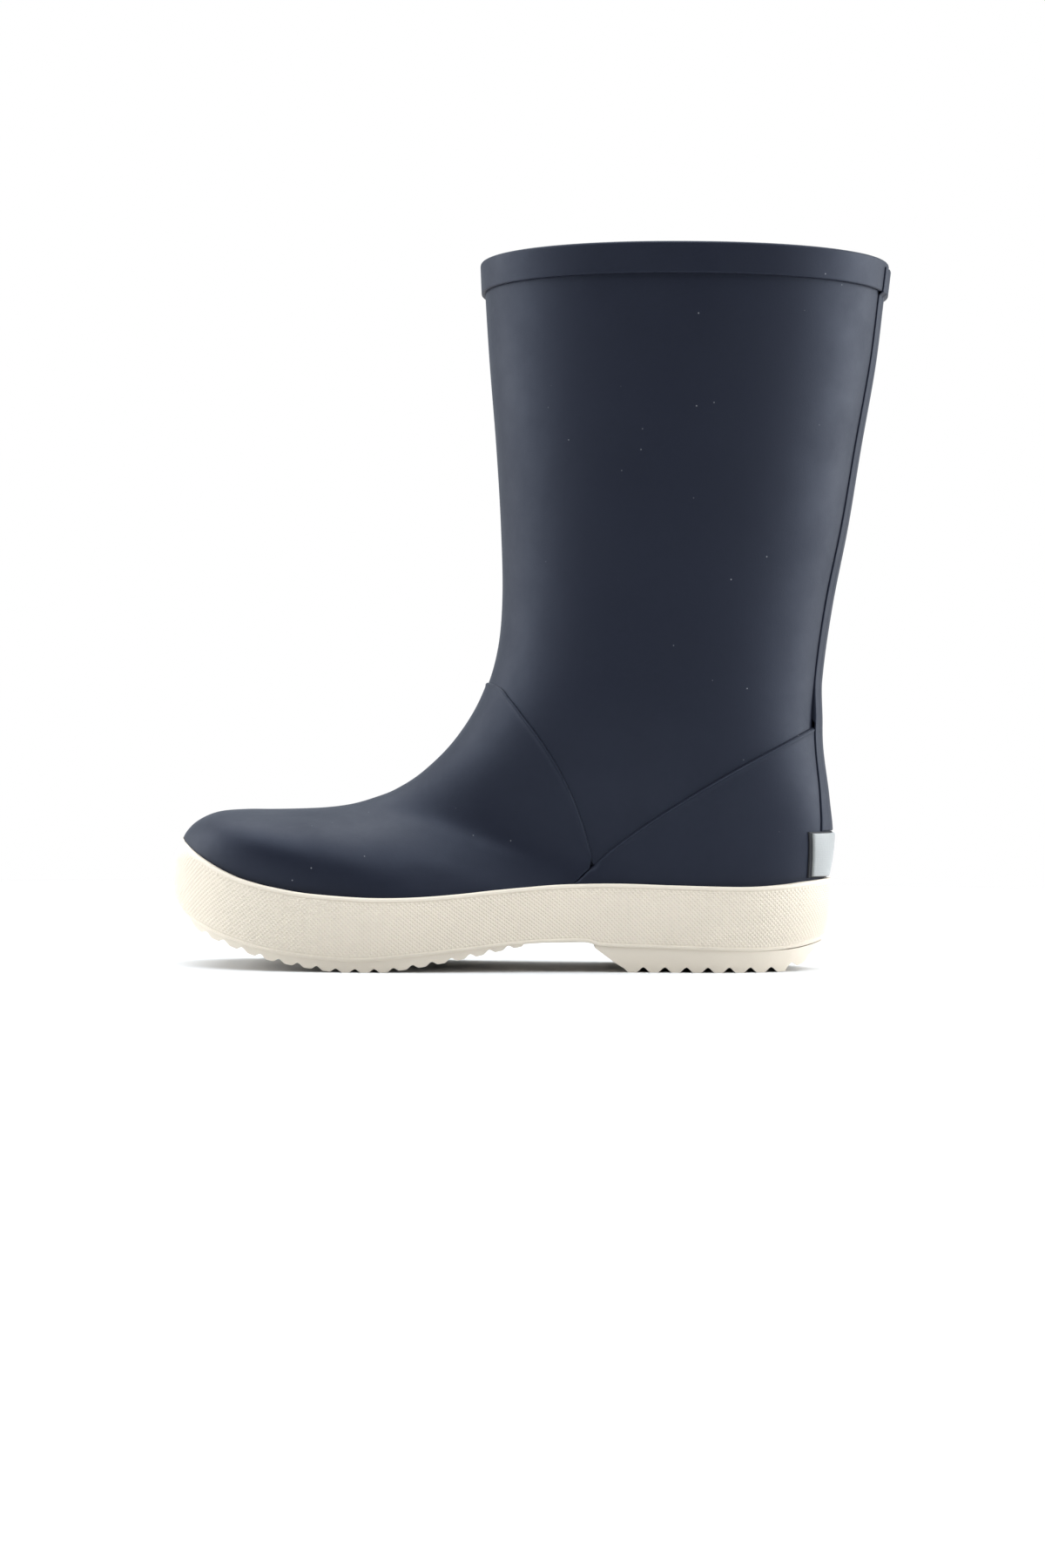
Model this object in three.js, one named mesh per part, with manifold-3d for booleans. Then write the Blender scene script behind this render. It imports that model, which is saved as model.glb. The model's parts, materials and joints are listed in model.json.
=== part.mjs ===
// A left deck boot: a lined rubber boot with a knurled foxing strip, a cream sole with a wave
// tread and a separate heel block. Millimetres, +Z up, toe towards -X, heel towards +X,
// outer (lateral) side towards -Y. The origin is the middle of the footprint, on the ground.

import * as THREE from "three";
import { LoftGeometry } from "three/addons/geometries/LoftGeometry.js";
import { mergeVertices } from "three/addons/utils/BufferGeometryUtils.js";
import Module from "manifold-3d";

// ---------------------------------------------------------------- driving dimensions (mm)

// Overall sizes.
const SOLE_LENGTH = 251;
const BOOT_HEIGHT = 267;
const BALL_WIDTH = 92.5;
const HEEL_WIDTH = 68;
const OPENING_WIDTH = 103;

// Clearance between pieces that are glued or vulcanised together.
const GAP = 0.3;

// Upper: offsets are counted outwards from the outer face of the leg rubber.
const RUBBER = 1.5;
const LEG_FOOT = 20;
const LINING = 1.0;
const VAMP_PROUD = 0.7;
const COUNTER_PROUD = 1.2;
const PUFF = 0.7;
const PUFF_REACH = 34;
const STIFFENER = 0.8;
const STIFFENER_FOOT = 24;
const STIFFENER_HEIGHT = 74;
const STIFFENER_REACH = 66;
const STIFFENER_MARGIN = 4;

// Top band, back strip and reflective patch.
const BAND_HEIGHT = 11.5;
const BAND_THICK = 1.1;
const BAND_TURN_IN = 9;
const STRIP_WIDTH = 31;
const STRIP_THICK = 0.9;
const STRIP_TOP_SETBACK = 2.2;
const TAPE_WIDTH = 14;
const TAPE_THICK = 0.7;
const TAPE_FOOT = 76;
const PATCH_FRONT = 114.3;
const PATCH_HEIGHT = 17;
const PATCH_BOTTOM = 35.4;
const PATCH_BACKING = 0.6;
const PATCH_FILM = 0.8;
const PATCH_MARGIN = 1;

// Sole unit.
const FOXING_THICK = 2.8;
const FOXING_NOMINAL = 2.8;
const FOXING_LAP = 2.4;
const TUCK_LEVEL = 27;
const HEEL_TUCK = 8;
const FORE_TUCK = 2.6;
const TOE_LEAN = 3.2;
const LEAN_LEVELS = [40, 49];
const SOLE_TOP = 60;
const HEEL_BREAST = 34;
const BREAST_SLOPE = [40, 4.6];
const WEDGE = 3;
const TOOTH_PITCH = 7;
const TOOTH_DEPTH = 1.4;
const HEEL_TOOTH_PITCH = 8;
const HEEL_TOOTH_DEPTH = 2;
const HEEL_BLOCK_INSET = 0.6;
const HEEL_PAD_LENGTH = 22;
const HEEL_PAD_WIDTH = 26;
const HEEL_PAD_CENTRE = 72;
const HEEL_PAD_TOP = 5;

// Inside the boot.
const BOARD = 2;
const FOOTBED = 4.5;
const FOOTBED_COVER = 0.8;
const FOOTBED_PLAY = 0.5;
const LASTING_MARGIN = 14;
const LASTED_LEVEL = 26;
const SHANK_LENGTH = 88;
const SHANK_WIDTH = 14;
const SHANK_THICK = 1.2;

// Fineness of the curved skins.
const RINGS = 22;
const AROUND = 28;
const OUTLINE_STEPS = 44;

// ---------------------------------------------------------------- grading

// The outlines below are drawn for one nominal boot and graded from it to the sizes above.
const DRAWN = { length: 251, height: 267, ball: 92.5, heel: 68, opening: 103, ankle: 112 };
const WAIST_FRONT = -20;
const WAIST_BACK = 40;

const mix = THREE.MathUtils.lerp;
const smooth = THREE.MathUtils.smoothstep;

const along = (x) => (x * SOLE_LENGTH) / DRAWN.length;

function up(z) {
  if (z <= DRAWN.ankle) return z;
  const stretch = (BOOT_HEIGHT - DRAWN.ankle) / (DRAWN.height - DRAWN.ankle);
  return DRAWN.ankle + (z - DRAWN.ankle) * stretch;
}

function across(y, x, z) {
  const foot = mix(BALL_WIDTH / DRAWN.ball, HEEL_WIDTH / DRAWN.heel, smooth(x, WAIST_FRONT, WAIST_BACK));
  const leg = smooth(z, DRAWN.ankle, DRAWN.height);
  return y * mix(foot, OPENING_WIDTH / DRAWN.opening, leg);
}

// ---------------------------------------------------------------- the last: stations of the upper

// Sections fan from above the rim, round the ankle, to the toe tip. Each runs from a front (or top)
// point to a back (or bottom) point of the side profile, both [x, z]. out and inn are the half widths
// towards the outer and inner side, wide is how far down the section its widest level lies, and the
// two square values say how boxy its front and back ends are (2 is an ellipse).
const STATIONS = [
  { front: [-10.0, 280], back: [144.6, 280], out: 52.3, inn: 52.3, wide: 0.5, square: [2.15, 2.15] },
  { front: [-8.9, 256], back: [141.9, 256], out: 51.0, inn: 51.0, wide: 0.5, square: [2.15, 2.15] },
  { front: [-7.0, 229], back: [138.8, 229], out: 49.5, inn: 49.5, wide: 0.5, square: [2.15, 2.15] },
  { front: [-4.3, 198], back: [133.6, 198], out: 47.3, inn: 47.3, wide: 0.5, square: [2.15, 2.15] },
  { front: [-2.3, 168], back: [128.9, 168], out: 45.0, inn: 45.0, wide: 0.5, square: [2.15, 2.15] },
  { front: [-1.5, 140], back: [123.4, 139], out: 42.6, inn: 42.6, wide: 0.5, square: [2.15, 2.15] },
  { front: [-3.4, 119], back: [119.7, 112], out: 41.2, inn: 40.8, wide: 0.5, square: [2.15, 2.2] },
  { front: [-9.2, 101], back: [118.6, 88], out: 40.0, inn: 39.4, wide: 0.51, square: [2.15, 2.25] },
  { front: [-18.8, 85.5], back: [121.4, 65], out: 37.4, inn: 36.4, wide: 0.52, square: [2.12, 2.3] },
  { front: [-30.5, 73.6], back: [122.7, 48], out: 34.2, inn: 33.2, wide: 0.53, square: [2.1, 2.35] },
  { front: [-41.0, 66.6], back: [118.6, 29], out: 31.8, inn: 30.8, wide: 0.55, square: [2.1, 2.5] },
  { front: [-50.0, 63.0], back: [108.5, 16], out: 30.7, inn: 29.6, wide: 0.58, square: [2.1, 3.2] },
  { front: [-58.0, 60.7], back: [86, 14], out: 31.4, inn: 28.8, wide: 0.6, square: [2.1, 4.4] },
  { front: [-67.0, 59.4], back: [54, 15.4], out: 33.6, inn: 29.2, wide: 0.62, square: [2.15, 4.6] },
  { front: [-77.0, 58.8], back: [17, 16.4], out: 37.6, inn: 32.6, wide: 0.64, square: [2.2, 4.2] },
  { front: [-88.0, 58.5], back: [-20, 12.8], out: 42.2, inn: 37.4, wide: 0.65, square: [2.3, 5] },
  { front: [-98.5, 58.4], back: [-55, 9.6], out: 42.0, inn: 39.6, wide: 0.65, square: [2.4, 6.5] },
  { front: [-108.5, 57.4], back: [-84, 11], out: 36.4, inn: 36.6, wide: 0.63, square: [2.5, 6] },
  { front: [-115.8, 54.2], back: [-104, 16], out: 26.6, inn: 30.0, wide: 0.6, square: [2.5, 4.5] },
  { front: [-120.2, 50.0], back: [-114.5, 22], out: 16.4, inn: 22.4, wide: 0.56, square: [2.4, 3.4] },
  { front: [-122.2, 45.6], back: [-119.8, 28.5], out: 7.0, inn: 14.4, wide: 0.52, square: [2.3, 2.8] },
  { front: [-123.0, 41.0], back: [-122.3, 34], out: 0.6, inn: 7.4, wide: 0.5, square: [2.2, 2.4] },
];

const KEYS = STATIONS.map(({ front, back, out, inn, wide, square }) => [
  along(front[0]),
  up(front[1]),
  along(back[0]),
  up(back[1]),
  across(out, (front[0] + back[0]) / 2, front[1]),
  across(inn, (front[0] + back[0]) / 2, front[1]),
  wide,
  ...square,
]);

// Smooth interpolation of every station value; s runs from 0 (above the rim) to 1 (toe tip).
function station(s) {
  const place = THREE.MathUtils.clamp(s, 0, 1) * (KEYS.length - 1);
  const i = Math.min(Math.floor(place), KEYS.length - 2);
  const t = place - i;
  const key = (j) => KEYS[THREE.MathUtils.clamp(j, 0, KEYS.length - 1)];
  const [a, b, c, d] = [key(i - 1), key(i), key(i + 1), key(i + 2)];
  return b.map((_, k) => {
    const m0 = (c[k] - a[k]) / 2;
    const m1 = (d[k] - b[k]) / 2;
    const t2 = t * t;
    const t3 = t2 * t;
    return (2 * t3 - 3 * t2 + 1) * b[k] + (t3 - 2 * t2 + t) * m0 + (3 * t2 - 2 * t3) * c[k] + (t3 - t2) * m1;
  });
}

// A point of the leg rubber's outer face; u runs once round from the front over the outer side.
function skin(s, u) {
  const [fx, fz, bx, bz, out, inn, wide, squareFront, squareBack] = station(s);
  const angle = u * Math.PI * 2;
  const c = Math.cos(angle);
  const d = Math.sin(angle);
  const n = mix(squareBack, squareFront, (1 + c) / 2);
  const r = (Math.abs(c) ** n + Math.abs(d) ** n) ** (-1 / n);
  const t = c > 0 ? wide * (1 - r * c) : wide - (1 - wide) * r * c;
  return new THREE.Vector3(mix(fx, bx, t), -r * d * (d > 0 ? out : inn), mix(fz, bz, t));
}

// The same point moved outwards by offset, square to the surface.
function layerPoint(s, u, offset) {
  const step = 0.004;
  const end = 1 - step;
  const point = skin(s, u);
  if (s > end) return point.add(new THREE.Vector3(-offset, 0, 0));
  const round = skin(s, u + step).sub(skin(s, u - step));
  const down = skin(Math.min(s + step, 1), u).sub(skin(Math.max(s - step, 0), u));
  return point.add(down.cross(round).setLength(offset || 1e-9));
}

// ---------------------------------------------------------------- outlines

// Plan outline of the sole's outer face [x, y], from the toe over the outer side to the heel and back.
const SOLE_OUTLINE = [
  [-126, 5], [-123.2, -11], [-117, -23], [-107.5, -33], [-95, -40.2], [-80, -45], [-62, -47.8],
  [-40, -47], [-15, -43], [10, -38.4], [35, -35.4], [60, -34.2], [84, -33.6], [101, -30.2],
  [114, -22.4], [122.5, -10.4], [125, 0], [122.5, 10.4], [114, 22.2], [101, 29.6], [84, 32.8],
  [60, 33.2], [35, 32.6], [10, 33.8], [-15, 37.6], [-40, 42], [-62, 44.4], [-80, 43.4],
  [-95, 40.6], [-107.5, 36], [-117, 28.8], [-123.2, 19],
].map(([x, y]) => [along(x), across(y, x, 0)]);

// Side outlines [x, z]: edges of the foxing strip, the tread's reach and the underside of the upper.
const FOXING_TOP = [
  [-140, 50], [-126, 48.4], [-122, 46.6], [-117, 43.6], [-112, 40.6], [-105.6, 37.2], [-99, 34.4],
  [-92.6, 32.5], [-86, 31], [-73, 28.9], [-54, 27.5], [-41, 27.3], [-28, 27.8], [-15, 28.9],
  [-2.5, 30.3], [10, 31.5], [23, 32.5], [42, 32.9], [62, 32.4], [81, 32], [94, 32],
  [106, 32.8], [115, 33.9], [124, 34.7], [140, 34.9],
].map(([x, z]) => [along(x), z]);
const FOXING_BOTTOM = [
  [-140, 48], [-130, 33], [-126, 27.3], [-122, 22.4], [-118, 18.8], [-114.5, 16.5], [-110, 14.4],
  [-104.5, 12.2],
  [-97, 9.8], [-88, 7.5], [-78, 5.9], [-66, 4.6], [-52, 4], [-38, 5.2], [-24, 6.7], [-9, 8.5],
  [1, 9.8], [10, 10.6], [17, 11], [30, 11.2], [38, 9.6], [60, 8.9], [90, 8], [105, 8.4],
  [115, 9.8], [125, 12.6], [140, 20],
].map(([x, z]) => [along(x), z]);
const TREAD_REACH = [
  [-118, 17.6], [-114.5, 14.8], [-110, 12.3], [-104, 10], [-96, 7.1], [-88, 4.6], [-78, 2.5],
  [-68, 0.9], [-60, 0], [-44, 0], [-36, 1], [-28, 2.3], [-20, 3.8], [-12, 5.4], [-4, 7.2],
  [4, 8.9], [12, 10.2], [26, 10.8], [36, 10.8],
].map(([x, z]) => [along(x), z]);
const HEEL_REACH = [
  [44, 0], [100, 0], [106, 0.9], [112, 2.6], [118, 6], [124, 10], [132, 14],
].map(([x, z]) => [along(x), z]);

// Level of a side outline at x.
function level(outline, x) {
  const i = THREE.MathUtils.clamp(outline.findIndex(([px]) => px > x), 1, outline.length - 1);
  const [[x0, z0], [x1, z1]] = [outline[i - 1], outline[i]];
  return mix(z0, z1, (x - x0) / (x1 - x0));
}

// Seams of the upper, side view, drawn from top to bottom and carried on past the skin.
const VAMP_SEAM = [
  [-30, 116], [-4.5, 107], [1.8, 101.2], [7, 94.4], [13.6, 85.5], [19.8, 75.8], [24.8, 66],
  [28.8, 55.8], [31.8, 46], [33.6, 39.8], [36, 28], [37, -20],
].map(([x, z]) => [along(x), z]);
const COUNTER_SEAM = [
  [160, 104], [124, 95.6], [113.8, 90.8], [97, 81.8], [84, 74.6], [71, 66.9], [61, 60.6],
  [52, 54.6], [42, 47.3], [33.6, 40], [28.4, 34.8], [18, 24], [14, 0], [14, -20],
].map(([x, z]) => [along(x), z]);

// ---------------------------------------------------------------- solids

const wasm = await Module();
wasm.setup();

function toSolid(geometry) {
  const bare = new THREE.BufferGeometry().copy(geometry);
  bare.deleteAttribute("normal");
  bare.deleteAttribute("uv");
  const merged = mergeVertices(bare, 1e-4);
  return new wasm.Manifold(
    new wasm.Mesh({
      numProp: 3,
      vertProperties: new Float32Array(merged.attributes.position.array),
      triVerts: new Uint32Array(merged.index.array),
    }),
  );
}

// Closed body of the whole upper, out to one offset of the skin.
function lastBody(offset) {
  const sections = Array.from({ length: RINGS }, (_, i) =>
    Array.from({ length: AROUND }, (_, j) => layerPoint(i / (RINGS - 1), -j / AROUND, offset)),
  );
  return toSolid(new LoftGeometry(sections, { capStart: true, capEnd: true }));
}

// One layer of the upper between two offsets.
const layer = (inner, outer) => lastBody(outer).subtract(lastBody(inner));

// Body of a side view outline, square across the boot.
function sidePrism(outline, halfDepth = BALL_WIDTH) {
  const shape = new THREE.Shape(outline.map(([x, z]) => new THREE.Vector2(x, z)));
  const geometry = new THREE.ExtrudeGeometry(shape, { depth: halfDepth * 2, bevelEnabled: false });
  return toSolid(geometry.translate(0, 0, -halfDepth).rotateX(Math.PI / 2));
}

// Body of a plan outline between two levels.
function planPrism(outline, bottom, top) {
  const shape = new THREE.Shape(outline.map(([x, y]) => new THREE.Vector2(x, y)));
  const geometry = new THREE.ExtrudeGeometry(shape, { depth: top - bottom, bevelEnabled: false });
  return toSolid(geometry.translate(0, 0, bottom));
}

const block = (x0, x1, halfWidth, z0, z1) =>
  planPrism([[x0, -halfWidth], [x1, -halfWidth], [x1, halfWidth], [x0, halfWidth]], z0, z1);

const FAR = 2 * SOLE_LENGTH;
const between = (z0, z1) => block(-FAR, FAR, FAR, z0, z1);

// Everything between a side outline, raised by low and by high.
const band = (outline, low, high) =>
  sidePrism([...outline.map(([x, z]) => [x, z + low]), ...outline.map(([x, z]) => [x, z + high]).reverse()]);

const below = (outline) => sidePrism([[outline.at(-1)[0], -FAR], [outline[0][0], -FAR], ...outline]);

// ---------------------------------------------------------------- sole bodies

const outlineCurve = new THREE.CatmullRomCurve3(
  SOLE_OUTLINE.map(([x, y]) => new THREE.Vector3(x, y, 0)),
  true,
  "centripetal",
);

function outlinePoint(share, inset) {
  const point = outlineCurve.getPoint(share);
  const heading = outlineCurve.getTangent(share);
  return [point.x - heading.y * inset, point.y + heading.x * inset];
}

const planOutline = (inset) =>
  Array.from({ length: OUTLINE_STEPS }, (_, i) => outlinePoint(i / OUTLINE_STEPS, inset));

// How far the sole's side tucks in below its widest level, strongly round the heel and little elsewhere,
// and how far it leans back onto the toe at its top.
function tuck(x, z) {
  const share = Math.max(0, (TUCK_LEVEL - z) / TUCK_LEVEL);
  const below = mix(FORE_TUCK * share ** 3, HEEL_TUCK * share ** 1.6, smooth(x, along(70), along(122)));
  return below + TOE_LEAN * smooth(z, ...LEAN_LEVELS) * (1 - smooth(x, along(-124), along(-112)));
}

function soleBody(inset) {
  const levels = [-4, 3, 8, 14, 20, TUCK_LEVEL, LEAN_LEVELS[0], 44.5, LEAN_LEVELS[1], SOLE_TOP];
  const sections = levels.map((z) =>
    planOutline(0).map(([x], i) => {
      const [px, py] = outlinePoint(i / OUTLINE_STEPS, inset + tuck(x, z));
      return new THREE.Vector3(px, py, z);
    }),
  );
  return toSolid(new LoftGeometry(sections, { capStart: true, capEnd: true }));
}

// ---------------------------------------------------------------- regions of the upper

const RIM = BOOT_HEIGHT;
const SKIN_IN = -RUBBER;
const LINING_OUT = SKIN_IN - GAP;
const LINING_IN = LINING_OUT - LINING;
const INSIDE = LINING_IN - GAP;
const BAND_OUT = GAP + BAND_THICK;
const BAND_INNER_FACE = INSIDE - BAND_THICK;
const LAYERS_TOP = RIM - BAND_THICK - GAP;

const shifted = (outline, dx, dz) => outline.map(([x, z]) => [x + dx, z + dz]);
const ahead = (seam) => sidePrism([...seam, [-FAR, seam.at(-1)[1]], [-FAR, seam[0][1]]]);
const behind = (seam) => sidePrism([...seam, [FAR, seam.at(-1)[1]], [FAR, seam[0][1]]]);

const vampArea = ahead(VAMP_SEAM);
const vampAreaClear = ahead(shifted(VAMP_SEAM, GAP, GAP / 2));
const counterArea = behind(COUNTER_SEAM);
const counterAreaClear = behind(shifted(COUNTER_SEAM, -GAP, GAP));

const lastingHole = (gap) => planPrism(planOutline(LASTING_MARGIN + gap), -FAR, LASTED_LEVEL);
const puffArea = (gap) => block(-FAR, along(-125) + PUFF_REACH + gap, FAR, LASTED_LEVEL - gap, BOOT_HEIGHT);
const stiffenerArea = (gap) =>
  block(along(125) - STIFFENER_REACH - gap, FAR, FAR, STIFFENER_FOOT - gap, STIFFENER_HEIGHT + gap)
    .intersect(behind(shifted(COUNTER_SEAM, STIFFENER_MARGIN - gap, -STIFFENER_MARGIN + gap)));

// ---------------------------------------------------------------- pieces of the upper

function legShell() {
  return layer(SKIN_IN, 0)
    .intersect(between(LEG_FOOT, LAYERS_TOP))
    .subtract(vampAreaClear)
    .subtract(counterAreaClear);
}

function vamp() {
  const pocket = layer(SKIN_IN - GAP, SKIN_IN + PUFF + GAP).intersect(puffArea(GAP));
  return layer(SKIN_IN, VAMP_PROUD)
    .intersect(vampArea)
    .subtract(counterAreaClear)
    .subtract(lastingHole(0))
    .subtract(pocket);
}

function heelCounter() {
  const pocket = layer(SKIN_IN - GAP, SKIN_IN + STIFFENER + GAP).intersect(stiffenerArea(GAP));
  return layer(SKIN_IN, COUNTER_PROUD).intersect(counterArea).subtract(lastingHole(0)).subtract(pocket);
}

const toePuff = () => layer(SKIN_IN, SKIN_IN + PUFF).intersect(puffArea(0));
const heelStiffener = () => layer(SKIN_IN, SKIN_IN + STIFFENER).intersect(stiffenerArea(0));

// The band folds over the cut edges of rubber and lining and turns down inside.
function topBand() {
  const outside = layer(GAP, BAND_OUT).intersect(between(RIM - BAND_HEIGHT, RIM));
  const over = layer(BAND_INNER_FACE, BAND_OUT).intersect(between(RIM - BAND_THICK, RIM));
  const inside = layer(BAND_INNER_FACE, INSIDE).intersect(between(RIM - BAND_TURN_IN, RIM));
  return outside.add(over).add(inside);
}

// The strip steps down from the band to the leg and runs on over the heel counter to the patch.
const PATCH_TOP = PATCH_BOTTOM + PATCH_HEIGHT;
const backStripEdge = level(COUNTER_SEAM, along(119)) + 2.5;
function backStrip() {
  const width = block(along(60), FAR, STRIP_WIDTH / 2, 0, BOOT_HEIGHT);
  const bandEdge = RIM - BAND_HEIGHT;
  const piece = (inner, outer, z0, z1) => layer(inner, outer).intersect(between(z0, z1)).intersect(width);
  const overBand = BAND_OUT + GAP;
  const overCounter = COUNTER_PROUD + GAP;
  const riser = GAP + STRIP_THICK;
  return piece(overBand, overBand + STRIP_THICK, bandEdge - riser, RIM - STRIP_TOP_SETBACK)
    .add(piece(GAP, overBand + STRIP_THICK, bandEdge - riser, bandEdge - GAP))
    .add(piece(GAP, riser, backStripEdge, bandEdge - GAP))
    .add(piece(GAP, overCounter + STRIP_THICK, backStripEdge, backStripEdge + riser))
    .add(piece(overCounter, overCounter + STRIP_THICK, PATCH_TOP + GAP, backStripEdge + riser));
}

function patchLayer(inner, outer, margin) {
  const wrap = block(along(PATCH_FRONT) + margin, FAR, FAR, PATCH_BOTTOM + margin / 2, PATCH_TOP - margin / 2);
  return layer(inner, outer).intersect(wrap);
}
const PATCH_IN = COUNTER_PROUD + GAP;
const FILM_IN = PATCH_IN + PATCH_BACKING + GAP;
const reflectorBacking = () => patchLayer(PATCH_IN, PATCH_IN + PATCH_BACKING, 0);
const reflectivePatch = () => patchLayer(FILM_IN, FILM_IN + PATCH_FILM, PATCH_MARGIN);

// ---------------------------------------------------------------- linings and bottom

// The lining is two knitted pieces joined at the ankle, on a line from the throat to the heel.
const ANKLE_FRONT = [-40, 92];
const ANKLE_BACK = [150, 70];
const ankleLine = [ANKLE_FRONT, ANKLE_BACK].map(([x, z]) => [along(x), z]);
const ankleSlice = (gap) =>
  sidePrism([
    ...shifted(ankleLine, 0, gap),
    [FAR, ANKLE_BACK[1] + gap],
    [FAR, FAR],
    [-FAR, FAR],
    [-FAR, ANKLE_FRONT[1] + gap],
  ]);

const liningLayer = () => layer(LINING_IN, LINING_OUT);
const legLining = () => liningLayer().intersect(between(0, LAYERS_TOP)).intersect(ankleSlice(GAP));
const footLining = () => liningLayer().subtract(ankleSlice(0)).subtract(lastingHole(0));

function backSeamTape() {
  return layer(INSIDE - TAPE_THICK, INSIDE)
    .intersect(block(along(60), FAR, TAPE_WIDTH / 2, TAPE_FOOT, RIM - BAND_TURN_IN - GAP));
}

// Underside of the upper in side view, which the stack inside the boot follows.
const UPPER_BOTTOM = STATIONS.slice(11)
  .map(({ back: [x, z] }) => [along(x), z])
  .concat([[along(-140), 60]])
  .reverse()
  .concat([[along(118), 17], [along(140), 22]]);
const stackLayer = (offset, low, high) => lastBody(offset).intersect(band(UPPER_BOTTOM, low, high));

const BOARD_TOP = -INSIDE + BOARD;
const BED_LOW = BOARD_TOP + GAP;
const BED_TOP = BED_LOW + FOOTBED;
const insoleBoard = () => stackLayer(INSIDE, 0, BOARD_TOP);
const footbed = () => stackLayer(INSIDE - FOOTBED_PLAY, BED_LOW, BED_TOP);
const footbedCover = () => stackLayer(INSIDE - FOOTBED_PLAY, BED_TOP + GAP, BED_TOP + GAP + FOOTBED_COVER);

// Fillers close the space that the lasted margins leave between board and outsole; the shank lies in
// a slot of the heel filler and bridges the waist.
const SHANK_BACK = along(92);
const SHANK_FRONT = SHANK_BACK - SHANK_LENGTH;
const FILLER_SPLIT = SHANK_FRONT - 4;
const fillerLayer = () => lastBody(COUNTER_PROUD).subtract(lastBody(INSIDE + GAP)).intersect(lastingHole(GAP));
const shankSlot = (gap) => {
  const shape = new THREE.Shape();
  const radius = SHANK_WIDTH / 2 + gap;
  shape.absarc(SHANK_FRONT + SHANK_WIDTH / 2, 0, radius, Math.PI / 2, (3 * Math.PI) / 2);
  shape.absarc(SHANK_BACK - SHANK_WIDTH / 2, 0, radius, -Math.PI / 2, Math.PI / 2);
  return planPrism(shape.getPoints(8).slice(0, -1).map(({ x, y }) => [x, y]), -SOLE_TOP, LASTED_LEVEL + gap);
};
const fillerBetween = (x0, x1) => fillerLayer().intersect(block(x0, x1, FAR, 0, SOLE_TOP));
const forefootFiller = () => fillerBetween(-FAR, FILLER_SPLIT - GAP);
const heelFiller = () => fillerBetween(FILLER_SPLIT, FAR).subtract(shankSlot(GAP));
function shank() {
  const middle = (COUNTER_PROUD + INSIDE + GAP) / 2;
  return lastBody(middle + SHANK_THICK / 2)
    .subtract(lastBody(middle - SHANK_THICK / 2))
    .intersect(shankSlot(0));
}

// ---------------------------------------------------------------- sole unit

// The strip wraps the lower edge of the upper: its inner face follows vamp and counter.
function foxing() {
  const fit = lastBody(VAMP_PROUD + GAP).add(lastBody(COUNTER_PROUD + GAP).intersect(counterAreaClear));
  const strip = band(FOXING_BOTTOM, 0, FAR / 4).intersect(below(FOXING_TOP));
  return soleBody(FOXING_NOMINAL - FOXING_THICK)
    .subtract(soleBody(FOXING_NOMINAL + FOXING_LAP))
    .intersect(strip)
    .subtract(fit);
}

// Underside with teeth: one flat-tipped tooth per pitch, measured up from the reach outline.
function toothed(reach, from, to, pitch, depth) {
  const count = Math.round((to - from) / pitch);
  const points = [];
  for (let i = 0; i < count; i++) {
    const x = mix(from, to, i / count);
    points.push([x, level(reach, x) + depth]);
    points.push([x + pitch * 0.36, level(reach, x + pitch * 0.36)]);
    points.push([x + pitch * 0.64, level(reach, x + pitch * 0.64)]);
  }
  points.push([to, level(reach, to) + depth]);
  return points;
}

const breast = along(HEEL_BREAST);
const uppersAndGap = () => lastBody(COUNTER_PROUD + GAP);

function outsole() {
  const toe = FOXING_BOTTOM.filter(([x]) => x < along(-118));
  const tread = toothed(TREAD_REACH, along(-117), along(9), TOOTH_PITCH, TOOTH_DEPTH);
  const waist = [[along(17), 11], [along(30), 11.2]];
  const overHeel = FOXING_BOTTOM.filter(([x]) => x > breast).map(([x, z]) => [x, z + GAP]);
  const lid = [[along(140), SOLE_TOP], [along(-140), SOLE_TOP]];
  const side = sidePrism([...toe, ...tread, ...waist, ...overHeel, ...lid]);
  const rim = soleBody(HEEL_BLOCK_INSET).intersect(below(shifted(FOXING_BOTTOM, 0, -GAP)));
  const core = soleBody(FOXING_NOMINAL + FOXING_LAP + GAP).intersect(band(UPPER_BOTTOM, -SOLE_TOP, WEDGE));
  return rim.add(core).intersect(side).subtract(uppersAndGap());
}

function heelBlock() {
  const tread = toothed(HEEL_REACH, along(44), along(116), HEEL_TOOTH_PITCH, HEEL_TOOTH_DEPTH);
  const back = HEEL_REACH.at(-1);
  const top = FOXING_BOTTOM.filter(([x]) => x > breast && x < back[0])
    .concat([[back[0], level(FOXING_BOTTOM, back[0])]])
    .map(([x, z]) => [x, z - GAP]);
  const profile = [[breast, 9], [along(BREAST_SLOPE[0]), BREAST_SLOPE[1]], ...tread, back, ...top.reverse()];
  const middle = along(HEEL_PAD_CENTRE);
  const half = HEEL_PAD_LENGTH / 2;
  const pad = block(middle - half, middle + half, HEEL_PAD_WIDTH / 2, 0, HEEL_PAD_TOP);
  return soleBody(HEEL_BLOCK_INSET).intersect(sidePrism(profile)).add(pad);
}

// ---------------------------------------------------------------- the boot

const finish = (color, roughness, metalness = 0) =>
  new THREE.MeshStandardMaterial({ color, roughness, metalness });
const navyRubber = finish(0x23263a, 0.55);
const creamRubber = finish(0xe2dac8, 0.7);
const knit = finish(0x3a4150, 0.95);
const board = finish(0x8f7f66, 0.9);
const foam = finish(0x4b5568, 0.95);
const fabric = finish(0x2e3440, 0.95);
const film = finish(0xccd4d4, 0.35);
const backing = finish(0x3b3c40, 0.7);
const steel = finish(0x9a9ea3, 0.4, 1);
const cork = finish(0xa98a62, 0.95);

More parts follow.
